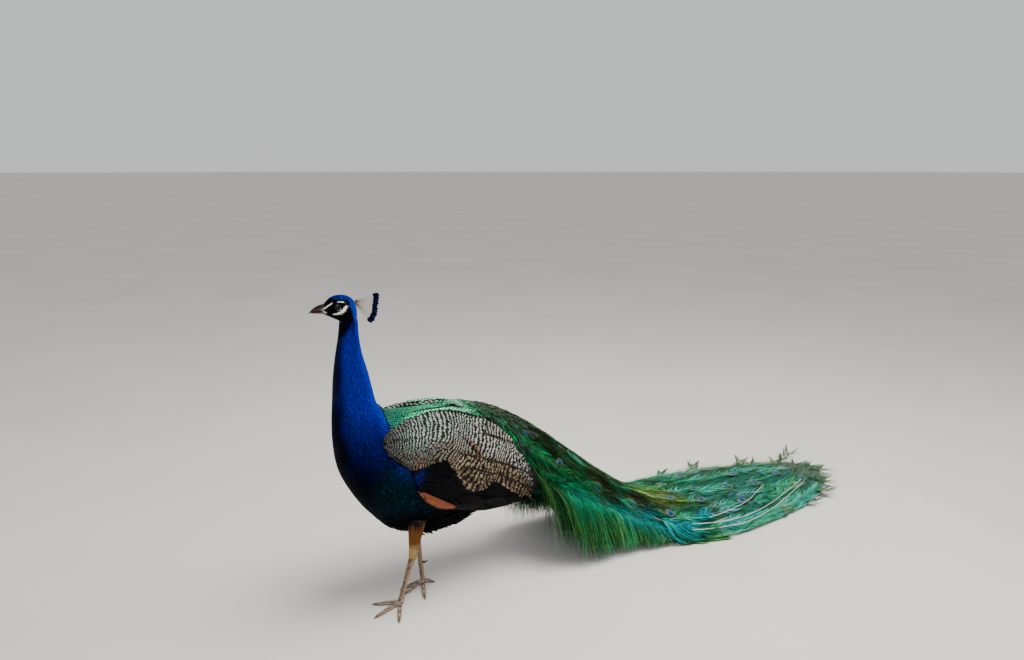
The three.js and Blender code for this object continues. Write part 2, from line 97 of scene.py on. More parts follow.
# Body sections: y and z on the back line, y and z on the front line, half width
BODY = [
    [-135, 858, -180, 858, 21], [-134, 822, -182, 820, 23], [-133, 780, -188, 776, 26],
    [-127, 735, -198, 726, 32], [-114, 686, -206, 668, 41], [-104, 638, -210, 606, 51],
    [-94, 596, -213, 545, 63], [-70, 565, -211, 482, 78], [-40, 556, -200, 416, 92],
    [-12, 553, -170, 352, 101], [24, 551, -127, 288, 108], [62, 550, -68, 231, 112],
    [100, 547, 4, 197, 113], [140, 537, 72, 184, 111], [180, 524, 136, 185, 105],
    [220, 509, 194, 203, 95], [262, 492, 246, 233, 82], [305, 473, 297, 275, 66],
    [348, 451, 345, 318, 50], [390, 428, 389, 354, 34], [418, 412, 418, 376, 20],
]
BODY_WIDEST = (0.5, 0.56)  # where a section is widest, from the front line to the back line

HEAD_AT = np.array([2.0, -186.0, 860.0])
HEAD_YAW = math.radians(-20)  # turned to the bird's right
# Head sections: forward, top, bottom, half width
HEAD = [
    [-46, -8, -24, 6], [-43, 5, -36, 12], [-37, 16, -42, 17], [-26, 25, -44, 20.5],
    [-13, 29, -42, 21], [2, 29, -34, 19.5], [14, 26, -28, 17], [24, 19.5, -23, 13.4],
    [33, 11, -19, 10], [38, 6, -17, 8],
]
BILL_UPPER = [
    [24, 9, -9, 7.5], [33, 9, -9, 8.4], [43, 7.2, -9.2, 7.4], [54, 2.6, -9.6, 5.6],
    [64, -4.2, -10.8, 3.4], [72, -11.4, -14.6, 1.2],
]
BILL_LOWER = [
    [24, -9.4, -17, 7.2], [33, -9.4, -16.8, 7.4], [43, -9.6, -16, 6.4], [54, -10, -15, 4.6],
    [66, -11.4, -14, 2.2],
]
EYE = {"f": 3.5, "z": 1.6, "side": 13.2, "radius": 8.0}
CREST = {"f": -45, "z": 12, "count": 12, "length": 57, "droop": 6, "top": 20, "bottom": -51}

LEGS = {
    "L": {"knee": (68, -12, 262), "hock": (55, -23, 141), "foot": (37, -56, 12),
          "toes": {"middle": (15, 86), "outer": (60, 86), "inner": (-30, 68), "hind": (225, 24)}},
    "R": {"knee": (-64, 34, 262), "hock": (-51, 51, 142), "foot": (-29, 53, 12),
          "toes": {"middle": (22, 82), "outer": (2, 66), "inner": (64, 88), "hind": (137, 26)}},
}
THIGH_RADII = (27, 22, 17, 13, 11)
LEG_VOXEL = 0.0011
SHANK = ((10, 8), (7.4, 5.6), (6.4, 6))  # half depth, half width
TOE_RADII = (5.8, 5.0, 5.2, 3.6)
CLAW_LENGTH = 15
SPUR_LENGTH = 16

# Train sections: y, centre x, ridge z, edge z, half width
TRAIN = [
    [150, 0, 548, 530, 40], [205, 0, 534, 500, 52], [260, 0, 517, 452, 64], [320, 0, 489, 380, 76],
    [380, 2, 454, 276, 94], [440, 8, 412, 200, 112], [500, 14, 366, 170, 124],
    [560, 22, 316, 142, 133], [640, 33, 250, 108, 146], [720, 44, 190, 74, 166],
    [800, 55, 140, 40, 190], [880, 66, 104, 6, 211], [1000, 82, 76, -4, 232],
    [1150, 99, 62, -4, 240], [1330, 119, 52, -4, 222], [1480, 136, 43, -4, 184],
    [1600, 142, 35, -4, 140], [1690, 144, 27, -4, 90], [1735, 144, 18, -4, 46],
]
TAIL = [[424, 372, 24], [480, 326, 40], [560, 262, 56], [640, 196, 66], [700, 148, 60]]


def metres(points):
    """Points of the bird's own frame, in mm, as points of the shared frame, in metres."""
    return np.asarray(points, float) * MM + SHIFT


def millimetres(points):
    return (np.asarray(points, float) - SHIFT) * 1000.0


def smooth(low, high, value):
    """0 below low, 1 above high, and a smooth step between them."""
    t = np.clip((np.asarray(value, float) - low) / (high - low), 0, 1)
    return t * t * (3 - 2 * t)


def blend(a, b, share):
    """Colours or numbers from a to b, with one share for each point."""
    share = np.asarray(share)[..., None] if np.ndim(a) or np.ndim(b) else share
    return np.asarray(a) * (1 - share) + np.asarray(b) * share


def curve(table, count):
    """Rows of a table at even steps, on a Catmull-Rom curve through every column."""
    table = np.asarray(table, float)
    last = len(table) - 1
    place = np.linspace(0, last, count)
    i = np.minimum(place.astype(int), last - 1)
    t = (place - i)[:, None]
    a, b, c, d = (table[np.clip(i + k, 0, last)] for k in (-1, 0, 1, 2))
    return 0.5 * (2 * b + (c - a) * t + (2 * a - 5 * b + 4 * c - d) * t ** 2
                  + (3 * b - a - 3 * c + d) * t ** 3)


def unit(vectors):
    return vectors / (np.linalg.norm(vectors, axis=-1, keepdims=True) + 1e-12)


def rings(at, side, up, width, top, bottom, columns):
    """Rings of two half ellipses: rows of points round a line."""
    angle = np.linspace(0, 2 * np.pi, columns, endpoint=False)
    rise = np.sin(angle)[None] * np.where(np.sin(angle)[None] > 0, top[:, None], bottom[:, None])
    return (at[:, None] + side[:, None] * (np.cos(angle)[None] * width[:, None])[..., None]
            + up[:, None] * rise[..., None])


def in_head(side, f, z):
    """Points given across, forward and up in the head, in the bird's own frame, in mm."""
    side, f, z = np.broadcast_arrays(*(np.asarray(a, float) for a in (side, f, z)))
    c, s = math.cos(HEAD_YAW), math.sin(HEAD_YAW)
    return np.stack([c * side + s * f, s * side - c * f, z], -1) + HEAD_AT


def from_body(points):
    """The bird's own frame to across, forward and up in the head, all in mm."""
    p = np.asarray(points, float) - HEAD_AT
    c, s = math.cos(HEAD_YAW), math.sin(HEAD_YAW)
    return c * p[..., 0] + s * p[..., 1], s * p[..., 0] - c * p[..., 1], p[..., 2]


def body_grid(rows=150, columns=96):
    table = curve(BODY, rows)
    back = np.stack([np.zeros(rows), table[:, 0], table[:, 1]], -1)
    front = np.stack([np.zeros(rows), table[:, 2], table[:, 3]], -1)
    share = np.linspace(*BODY_WIDEST, rows)[:, None]
    at = front + (back - front) * share
    side = np.tile([1.0, 0, 0], (rows, 1))
    return rings(at, side, unit(back - front), table[:, 4], np.linalg.norm(back - at, axis=1),
                 np.linalg.norm(front - at, axis=1), columns)


def head_grid(table, rows, columns, widest=0.55):
    table = curve(table, rows)
    f, top, bottom, width = table.T
    middle = bottom + (top - bottom) * widest
    at = in_head(0, f, middle)
    side = in_head(np.ones(rows), 0, 0) - in_head(np.zeros(rows), 0, 0)
    up = np.tile([0, 0, 1.0], (rows, 1))
    return rings(at, side, up, width, top - middle, middle - bottom, columns)


def limb_grid(points, sizes, rows, columns, across=None):
    """A limb through points, with half depth and half width at each size row."""
    path = curve(points, rows)
    sizes = curve([(s, s) if np.ndim(s) == 0 else s for s in sizes], rows)
    along = unit(np.gradient(path, axis=0))
    side = (np.tile(np.asarray(across, float), (rows, 1)) if across is not None
            else np.cross([0, 0, 1.0], along))
    side = unit(side - along * np.sum(side * along, axis=1, keepdims=True))
    up = unit(np.cross(along, side))
    return rings(path, side, up, sizes[:, 1], sizes[:, 0], sizes[:, 0], columns)


def arch(across):
    """Height of the train's arch, from 1 on its ridge to 0 at the edges."""
    return np.power(1 - across ** 2.3, 0.62)


def train_grid(rows, columns, reach):
    """The train's top. Past its edges the surface runs down to the floor, then out along it."""
    y, centre, ridge, edge, width = (c[:, None] for c in curve(TRAIN, rows).T)
    u = np.linspace(-reach, reach, columns)[None]
    inside = np.clip(np.abs(u), 0, 1)
    floor = np.maximum(edge, 2)
    z = floor + (ridge - floor) * arch(inside)
    past = (np.abs(u) - inside) * width
    fall = np.minimum(past, np.maximum(floor - 2, 0))
    x = centre + np.sign(u) * (inside * width + 0.25 * fall + (past - fall) * 0.4)
    return np.stack([x, np.broadcast_to(y, x.shape), z - fall], -1)


# ------------------------------------------------------------------ surfaces that feathers follow
class Form:
    """A grid of points in metres: rows follow the lie of the feathers, columns run across it."""

    def __init__(self, grid, closed):
        self.points, self.closed = metres(grid), closed
        along = np.gradient(self.points, axis=0)
        if closed:
            across = (np.roll(self.points, -1, 1) - np.roll(self.points, 1, 1)) / 2
            away = self.points - self.points.mean(axis=1, keepdims=True)
        else:
            across = np.gradient(self.points, axis=1)
            away = np.broadcast_to([0, 0, 1.0], self.points.shape)
        normal = unit(np.cross(along, across))
        self.normals = normal if np.sum(normal * away) > 0 else -normal

    def _sample(self, grid, v, u):
        rows, columns = grid.shape[:2]
        v = np.clip(v, 0, 1) * (rows - 1.001)
        i = v.astype(int)
        if self.closed:
            u = (u % 1.0) * columns
            j = u.astype(int) % columns
            k = (j + 1) % columns
            fu = (u - np.floor(u))[..., None]
        else:
            u = np.clip(u, 0, 1) * (columns - 1.001)
            j = u.astype(int)
            k = j + 1
            fu = (u - j)[..., None]
        fv = (v - i)[..., None]
        low = grid[i, j] * (1 - fu) + grid[i, k] * fu
        high = grid[i + 1, j] * (1 - fu) + grid[i + 1, k] * fu
        return low * (1 - fv) + high * fv

    def at(self, v, u):
        return self._sample(self.points, v, u), unit(self._sample(self.normals, v, u))

    def speeds(self, v, u):
        """Metres moved for each unit of v and of u."""
        step = 0.004
        here = self.at(v, u)[0]
        ahead = np.where(v + step < 1, step, -step)
        dv = np.linalg.norm(self.at(v + ahead, u)[0] - here, axis=-1) / step
        aside = np.where(np.asarray(u) + step < 1, step, -step) if not self.closed else step
        du = np.linalg.norm(self.at(v, u + aside)[0] - here, axis=-1) / step
        return np.maximum(dv, 1e-3), np.maximum(du, 1e-3)

    def path(self, v, u, length, lean, steps, bow=0.0):
        """Lines over the surface from roots at v, u: centres and normals at each step."""
        sv, su = self.speeds(v, u)
        t = np.asarray(steps)[None]
        forward = length[:, None] * t * np.cos(lean)[:, None]
        aside = length[:, None] * (t - bow * t * t) * np.sin(lean)[:, None]
        return self.at(v[:, None] + forward / sv[:, None], u[:, None] + aside / su[:, None])


class Flank:
    """One side of the folded wing and body, charted over y and z on a plane beside the bird.

    Each place on the chart is carried onto the solids along a line from the camera's place, which
    is mirrored for the right side.
    """

    STEP = 4.0  # side of a cell
    Y, Z = (-140.0, 400.0), (176.0, 600.0)
    SPREAD, ROUNDING = 60, 4  # passes that fill and that smooth the chart
    PLANE = 110.0

    def __init__(self, sign):
        names = wing_nodes("L" if sign > 0 else "R") + ["neck_lower", "breast", "belly", "rump"]
        tree = solid_tree(names)
        source = np.array(CAMERA_AT) * [sign, 1, 1]
        ys = np.arange(*self.Y, self.STEP)
        zs = np.arange(*self.Z, self.STEP)
        points = np.full((len(ys), len(zs), 3), np.nan)
        for i, y in enumerate(ys):
            for j, z in enumerate(zs):
                way = unit(np.array([sign * self.PLANE, y, z]) - source)
                hit = tree.ray_cast(Vector(metres(source)), Vector(way))[0]
                if hit is not None:
                    points[i, j] = millimetres(hit)
        known = ~np.isnan(points[..., 0])
        # carry the surface past its outline, in steps no longer than a cell and a half
        for _ in range(self.SPREAD):
            if known.all():
                break
            total, weight = np.zeros_like(points), np.zeros(known.shape)
            for axis in (0, 1):
                for way in (1, -1):
                    near, ok = np.roll(points, way, axis), np.roll(known, way, axis)
                    far, both = np.roll(points, 2 * way, axis), np.roll(known, 2 * way, axis)
                    edge = [slice(None)] * 2
                    edge[axis] = slice(0, 2) if way > 0 else slice(-2, None)
                    ok[tuple(edge)] = False
                    step = np.where((both & ok)[..., None], near - far, 0)
                    size = np.linalg.norm(step, axis=-1, keepdims=True)
                    step = step * np.minimum(1, 1.5 * self.STEP / np.maximum(size, 1e-6))
                    total += np.where(ok[..., None], near + step, 0)
                    weight += ok
            fresh = ~known & (weight > 0)
            points[fresh] = total[fresh] / weight[fresh][:, None]
            known |= fresh
        points = np.nan_to_num(points)
        for _ in range(self.ROUNDING):  # the layers' steps are rounded, as feathers are
            wide = np.pad(points, ((1, 1), (1, 1), (0, 0)), mode="edge")
            points = (points * 4 + wide[1:-1, 2:] + wide[1:-1, :-2] + wide[2:, 1:-1]
                      + wide[:-2, 1:-1]) / 8
        self.points = metres(points)
        along, up = np.gradient(self.points, axis=0), np.gradient(self.points, axis=1)
        self.normals = unit(np.cross(along, up)) * sign

    def _sample(self, grid, y, z):
        i = np.clip((y - self.Y[0]) / self.STEP, 0, grid.shape[0] - 1.001)
        j = np.clip((z - self.Z[0]) / self.STEP, 0, grid.shape[1] - 1.001)
        a, b = i.astype(int), j.astype(int)
        fi, fj = (i - a)[..., None], (j - b)[..., None]
        return ((grid[a, b] * (1 - fj) + grid[a, b + 1] * fj) * (1 - fi)
                + (grid[a + 1, b] * (1 - fj) + grid[a + 1, b + 1] * fj) * fi)

    def at(self, y, z):
        return self._sample(self.points, y, z), unit(self._sample(self.normals, y, z))


def wing_nodes(side):
    return [f"wing_{part}_{side}" for part in ("scapulars", "coverts", "primaries", "secondaries")]


def solid_faces(names):
    """Corners and faces of some of the frame's solids, in one list of each."""
    corners, faces = [], []
    for name in names:
        mesh = frame["nodes"][name].data
        start = len(corners)
        corners += [v.co[:] for v in mesh.vertices]
        faces += [[start + i for i in p.vertices] for p in mesh.polygons]
    return corners, faces


def solid_tree(names):
    """A search tree over the faces of some of the frame's solids."""
    return BVHTree.FromPolygons(*solid_faces(names))


def covered(names, points, normals):
    """Whether one of the named solids lies over each point, along its normal."""
    clear, reach = 0.002, 0.05
    tree = solid_tree(names)
    return np.array([tree.ray_cast(Vector(p + n * clear), Vector(n), reach)[0] is not None
                     for p, n in zip(points, normals)])


# ------------------------------------------------------------------ meshes
def mesh_piece(name, points, quads=(), triangles=(), flat_quads=0):
    """A mesh object from arrays. All triangles and the last flat_quads quads are flat shaded."""
    quads = np.asarray(quads, np.int32).reshape(-1, 4)
    triangles = np.asarray(triangles, np.int32).reshape(-1, 3)
    mesh = bpy.data.meshes.new(name)
    mesh.vertices.add(len(points))
    mesh.vertices.foreach_set("co", np.asarray(points, np.float32).ravel())
    mesh.loops.add(quads.size + triangles.size)
    mesh.loops.foreach_set("vertex_index", np.concatenate([quads.ravel(), triangles.ravel()]))
    mesh.polygons.add(len(quads) + len(triangles))
    starts = np.concatenate([np.arange(len(quads)) * 4,
                             quads.size + np.arange(len(triangles)) * 3]).astype(np.int32)
    mesh.polygons.foreach_set("loop_start", starts)
    rounded = np.ones(len(quads) + len(triangles), bool)
    if flat_quads:
        rounded[len(quads) - flat_quads:] = False
    mesh.polygons.foreach_set("use_smooth", rounded)
    mesh.update(calc_edges=True)
    mesh.validate()
    piece = bpy.data.objects.new(name, mesh)
    bpy.context.scene.collection.objects.link(piece)
    return piece


def paint(piece, name, values, kind="FLOAT_COLOR"):
    """Stores one colour or vector for each vertex."""
    layer = piece.data.attributes.new(name, kind, "POINT")
    if kind == "FLOAT_COLOR":
        values = np.concatenate([values, np.ones((len(values), 1))], 1)
        layer.data.foreach_set("color", values.astype(np.float32).ravel())
    else:
        layer.data.foreach_set("vector", values.astype(np.float32).ravel())


def grid_faces(rows, columns, closed=True, start=0):
    """Quads between neighbouring rows of a grid, facing out for rings that turn left to right."""
    i = np.arange(rows - 1)[:, None]
    j = np.arange(columns if closed else columns - 1)[None]
    k = (j + 1) % columns
    quad = np.stack(np.broadcast_arrays(i * columns + j, i * columns + k, (i + 1) * columns + k,
                                        (i + 1) * columns + j), -1)
    return quad.reshape(-1, 4) + start


def shell(grids):
    """Points, quads and end fans of closed rings, one set for several grids."""
    points, quads, triangles, start = [], [], [], 0
    for grid in grids:
        rows, columns = grid.shape[:2]
        points += [grid.reshape(-1, 3), grid[0].mean(0)[None], grid[-1].mean(0)[None]]
        quads.append(grid_faces(rows, columns, start=start))
        ring = np.arange(columns)
        turn = (ring + 1) % columns
        first, last = start + rows * columns, start + rows * columns + 1
        low = start + (rows - 1) * columns
        triangles.append(np.stack([np.full(columns, first), turn + start, ring + start], -1))
        triangles.append(np.stack([np.full(columns, last), ring + low, turn + low], -1))
        start += rows * columns + 2
    return np.concatenate(points), np.concatenate(quads), np.concatenate(triangles)


def turned_out(piece):
    """Points every face outwards, on a closed mesh."""
    work = bmesh.new()
    work.from_mesh(piece.data)
    bmesh.ops.recalc_face_normals(work, faces=work.faces)
    work.to_mesh(piece.data)
    work.free()
    return piece


def lofted(name, grids):
    points, quads, triangles = shell([metres(grid) for grid in grids])
    return turned_out(mesh_piece(name, points, quads, triangles))


def finished(piece, modifiers):
    """Applies modifiers, each given as a type and its settings."""
    for kind, settings in modifiers:
        modifier = piece.modifiers.new(kind.title(), kind)
        for key, value in settings.items():
            setattr(modifier, key, value)
    evaluated = piece.evaluated_get(bpy.context.evaluated_depsgraph_get())
    mesh = bpy.data.meshes.new_from_object(evaluated)
    piece.modifiers.clear()
    old, piece.data = piece.data, mesh
    bpy.data.meshes.remove(old)
    mesh.name = piece.name
    return piece


def round_off(piece):
    """Shades every face of a piece smooth."""
    piece.data.polygons.foreach_set("use_smooth", np.ones(len(piece.data.polygons), bool))


def vertex_arrays(piece):
    count = len(piece.data.vertices)
    points, normals = np.empty(count * 3, np.float32), np.empty(count * 3, np.float32)
    piece.data.vertices.foreach_get("co", points)
    piece.data.vertex_normals.foreach_get("vector", normals)
    return points.reshape(-1, 3).astype(float), normals.reshape(-1, 3).astype(float)


def move_vertices(piece, points):
    piece.data.vertices.foreach_set("co", points.astype(np.float32).ravel())
    piece.data.update()


def finish(piece, material, slot, replaces=()):
    """Gives a piece its material and ties it to the frame."""
    piece.data.materials.clear()
    piece.data.materials.append(material)
    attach(piece, "root")
    if replaces:
        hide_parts(*replaces)
    return piece


BAKE_PATCH = 0.003  # side of a vane's patch on the OFBake map
GOLDEN = 0.6180339887  # spreads the seeds of vanes evenly


def unwrapped(across, along):
    """Places on the unwrap of a coat's own surface, kept just inside its border."""
    return np.stack([0.01 + 0.98 * np.clip(across, 0, 1), 0.01 + 0.98 * np.clip(along, 0, 1)], -1)


class Coat:
    """Vanes gathered for one piece, each a thin blade: rows of left edge, shaft, right edge."""

    def __init__(self):
        self.groups = []

    def add(self, centres, normals, half, tints, spots, ridge=0.16, droop=0.0, edge=0.8, along=None,
            seed=None):
        """half is each row's half width in metres, tints a colour for each row or each vane."""
        count, rows = centres.shape[:2]
        if not count:
            return
        way = np.gradient(centres, axis=1)
        side = unit(np.cross(normals, way))
        half = np.broadcast_to(half, (count, rows))[..., None]
        left = centres - side * half - normals * half * droop
        right = centres + side * half - normals * half * droop
        middle = centres + normals * half * ridge + normals * 0.0001
        points = np.stack([left, middle, right], 2)
        if tints.ndim == 2:
            tints = np.broadcast_to(tints[:, None], (count, rows, 3))
        colour = np.stack([tints * edge, tints, tints * edge], 2)
        if along is None:
            steps = np.linalg.norm(np.diff(centres, axis=1), axis=2)
            along = np.concatenate([np.zeros((count, 1)), np.cumsum(steps, 1)], 1) * 1000
        across = np.stack([-half[..., 0], half[..., 0] * 0, half[..., 0]], 2) * 1000
        if seed is None:
            seed = np.arange(count) * GOLDEN % 1.0
        marks = np.stack([across, np.broadcast_to(along[..., None], across.shape),
                          np.broadcast_to(seed[:, None, None] * 100, across.shape)], -1)
        reach = np.linspace(0, 1, rows)[None, :, None]
        spread = np.array([-0.5, 0, 0.5])[None, None]
        patch = np.stack(np.broadcast_arrays(
            spots[:, None, None, 0] + BAKE_PATCH * spread + reach * 0,
            spots[:, None, None, 1] + BAKE_PATCH * reach + spread * 0), -1)
        self.groups.append((points, colour, marks, patch))

    def piece(self, name, material, slot):
        points, colours, marks, patches, tops, unders, caps = [], [], [], [], [], [], []
        start = 0
        for group, colour, mark, patch in self.groups:
            count, rows = group.shape[:2]
            first = start + np.arange(count)[:, None] * rows * 3
            row = first + np.arange(rows - 1)[None] * 3
            for a, b in ((0, 1), (1, 2)):
                tops.append(np.stack([row + a, row + b, row + b + 3, row + a + 3],
                                     -1).reshape(-1, 4))
            unders.append(np.stack([row + 2, row, row + 3, row + 5], -1).reshape(-1, 4))
            last = first[:, 0] + (rows - 1) * 3
            caps.append(np.stack([first[:, 0], first[:, 0] + 2, first[:, 0] + 1], -1))
            caps.append(np.stack([last, last + 1, last + 2], -1))
            points.append(group.reshape(-1, 3))
            colours.append(colour.reshape(-1, 3))
            marks.append(mark.reshape(-1, 3))
            patches.append(patch.reshape(-1, 2))
            start += count * rows * 3
        under = np.concatenate(unders)
        quads = np.concatenate(tops + [under])[:, ::-1]
        triangles = np.concatenate(caps)[:, ::-1]
        piece = mesh_piece(name, np.concatenate(points), quads, triangles, len(under))
        paint(piece, "Tint", np.concatenate(colours))
        paint(piece, "Vane", np.concatenate(marks), "FLOAT_VECTOR")
        layer = piece.data.uv_layers.new(name="OFBake")
        corner = np.empty(len(piece.data.loops), np.int32)
        piece.data.loops.foreach_get("vertex_index", corner)
        layer.data.foreach_set("uv", np.concatenate(patches)[corner].astype(np.float32).ravel())
        return finish(piece, material, slot)


# ------------------------------------------------------------------ outlines of vanes
# Place along the vane, and the share of its half width there
ROUND = ((0, 0.3), (0.34, 0.82), (0.7, 1.0), (0.92, 0.72), (1, 0.16))
SCALE = ((0, 0.4), (0.45, 0.95), (0.8, 1.0), (1, 0.35))
TINY = ((0, 0.5), (0.6, 1.0), (1, 0.2))
LOOSE = ((0, 0.5), (0.4, 1.0), (0.75, 0.7), (1, 0.06))
BLADE = ((0, 0.5), (0.2, 0.9), (0.5, 1.0), (0.75, 0.95), (0.92, 0.7), (1, 0.2))
HAIR = ((0, 1.0), (0.5, 0.8), (1, 0.12))


def outline(shape):
    table = np.array(shape)
    return table[:, 0], table[:, 1]


# ------------------------------------------------------------------ node helper
def put(tree, kind, inputs=None, stops=(), **settings):
    """Adds a node. settings are its properties; inputs take a value or another node's output.

    stops are the places and colours of a colour ramp.
    """
    made = tree.nodes.new(kind)
    for key, value in settings.items():
        setattr(made, key, value)
    for key, value in (inputs or {}).items():
        if isinstance(value, bpy.types.NodeSocket):
            tree.links.new(value, made.inputs[key])
        else:
            made.inputs[key].default_value = value
    if stops:
        elements = made.color_ramp.elements
        while len(elements) < len(stops):
            elements.new(0.5)
        for element, (place, colour) in zip(elements, stops):
            element.position = place
            element.color = (*colour, 1)
    return made


def new_material(name):
    material = bpy.data.materials.new(name)
    material.use_nodes = True
    material.node_tree.nodes.clear()
    return material, material.node_tree


def surface(tree, colour, normal=None, **values):
    """A Principled surface and its output. Plain numbers stay on the shader's own sockets."""
    shader = put(tree, "ShaderNodeBsdfPrincipled", {"Base Color": colour})
    for key, value in values.items():
        socket = shader.inputs[key.replace("_", " ").title().replace("Ior", "IOR")]
        if isinstance(value, bpy.types.NodeSocket):
            tree.links.new(value, socket)
        else:
            socket.default_value = value
    if normal is not None:
        tree.links.new(normal, shader.inputs["Normal"])
    put(tree, "ShaderNodeOutputMaterial", {"Surface": shader.outputs[0]})
    return shader


def shaded_tint(tree, factor, span, light):
    """The piece's own tint, with its brightness run over light as factor runs over span."""
    tint = put(tree, "ShaderNodeAttribute", attribute_name="Tint").outputs["Color"]
    level = put(tree, "ShaderNodeMapRange",
                {0: factor, 1: span[0], 2: span[1], 3: light[0], 4: light[1]})
    return put(tree, "ShaderNodeVectorMath", {0: tint, 1: level.outputs[0]},
               operation="MULTIPLY").outputs[0]


def ramped(texts):
    """Stops of a colour ramp from places and hex colours."""
    return [(place, linear(text)) for place, text in texts]


def barb_lines(tree, pitch, slant=1.1):
    """A value that runs in fine lines off each vane's shaft, as its barbs do; pitch is in mm."""
    vane = put(tree, "ShaderNodeAttribute", attribute_name="Vane").outputs["Vector"]
    parts = put(tree, "ShaderNodeSeparateXYZ", {0: vane})
    out = put(tree, "ShaderNodeMath", {0: parts.outputs[0]}, operation="ABSOLUTE")
    run = put(tree, "ShaderNodeMath", {0: out.outputs[0], 1: -slant, 2: parts.outputs[1]},
              operation="MULTIPLY_ADD")
    spot = put(tree, "ShaderNodeCombineXYZ", {0: run.outputs[0], 1: parts.outputs[2]})
    noise = put(tree, "ShaderNodeTexNoise", {"Vector": spot.outputs[0], "Scale": 1 / pitch,
                                             "Detail": 2.0, "Roughness": 0.6},
                noise_dimensions="2D")
    return noise.outputs[0], parts


def plumage(name, metallic, roughness, pitch, light=(0.72, 1.3), bump=0.0004, **extra):
    """Vane of keratin barbs: the tint of its place, finely lined, with its structure's gloss."""
    material, tree = new_material(name)
    lines = barb_lines(tree, pitch)[0]
    rise = put(tree, "ShaderNodeBump", {"Height": lines, "Strength": 0.5, "Distance": bump})
    surface(tree, shaded_tint(tree, lines, (0.25, 0.75), light), rise.outputs[0],
            metallic=metallic, roughness=roughness, **extra)
    return material


# ------------------------------------------------------------------ markings
def ripple(points, wavelength, seed):
    """Smooth noise from -1 to 1 over points in mm."""
    draw = np.random.default_rng(seed)
    total = np.zeros(points.shape[:-1])
    for k in range(5):
        way = draw.normal(size=3)
        way *= 2 * np.pi / (wavelength * (0.7 + 0.22 * k)) / np.linalg.norm(way)
        total += np.sin(points @ way + draw.uniform(0, 2 * np.pi))
    return total / 3.0


# Bare white skin of the face, forward, up and radius in the head: a crescent under the eye,
# a stripe from the bill to over the eye, and a bar over the back of the eye
CRESCENT = [(14.5, -16.6, 1.6), (5.0, -15.2, 3.0), (-4.2, -12.0, 4.3), (-11.8, -6.8, 5.5),
            (-16.0, -0.6, 5.0), (-19.0, 3.8, 3.2)]
STRIPE = [(40, -4.4, 1.2), (35, -1.8, 1.5), (30.3, 1.2, 1.6), (22.6, 6.6, 1.6), (15.6, 11.8, 1.3)]
BROW = [(3.4, 14.6, 0.9), (-4, 15.4, 1.5), (-11, 14.6, 1.6), (-14.6, 12.8, 1.0)]
GAPE = [(42, -8.8, 1.6), (36, -10.9, 1.9), (30, -13.0, 1.0)]


def band(f, z, line):
    """Distance in mm outside a band along a line of points with radii; below 0 inside."""
    best = np.full(np.shape(f), 1e3)
    for (f0, z0, r0), (f1, z1, r1) in zip(line, line[1:]):
        run = (f1 - f0) ** 2 + (z1 - z0) ** 2
        t = np.clip(((f - f0) * (f1 - f0) + (z - z0) * (z1 - z0)) / run, 0, 1)
        gap = np.hypot(f - f0 - t * (f1 - f0), z - z0 - t * (z1 - z0)) - (r0 + (r1 - r0) * t)
        best = np.minimum(best, gap)
    return best


def bare(points):
    """1 on the bare white skin of the face, 0 off it."""
    side, f, z = from_body(points)
    gap = np.min([band(f, z, line) for line in (CRESCENT, STRIPE, BROW, GAPE)], axis=0)
    return (1 - smooth(-0.5, 0.7, gap)) * smooth(4, 7, np.abs(side))


def head_tone(points):
    _, f, z = from_body(points)
    wave = ripple(points, 16, 5)
    crown = smooth(-1.5, 3.0, z - np.interp(f, [-36, -31, -19, 7, 18, 26, 34],
                                            [3, 11, 18, 19.5, 20, 22, 24]) + wave)
    nape = smooth(-3, 3, -29.5 - f + 0.22 * (z + 8) + wave * 1.4)
    blue = np.maximum(crown, nape)
    # the head is lighter towards the nape: a painted highlight
    lit = blend(chosen("neck_blue"), chosen("neck_highlight"), smooth(-10, 30, -f))
    dapple = smooth(-0.35, 0.35, ripple(points, 8, 6) + 0.7 * ripple(points, 4.5, 7))
    lit = blend(lit * 0.14, lit * 1.1, np.maximum(dapple, 0.8 * smooth(22, 40, -f)))
    tint = blend(tone("#020306"), lit, blue)
    return blend(tint, chosen("face_skin"), bare(points))


_BACK = curve(BODY, 200)


def mantle_edge(z):
    """Where the emerald mantle begins behind the blue neck, as y at each z."""
    return np.interp(z, [480, 511, 545, 600, 640], [-108, -100, -92, -90, -86])


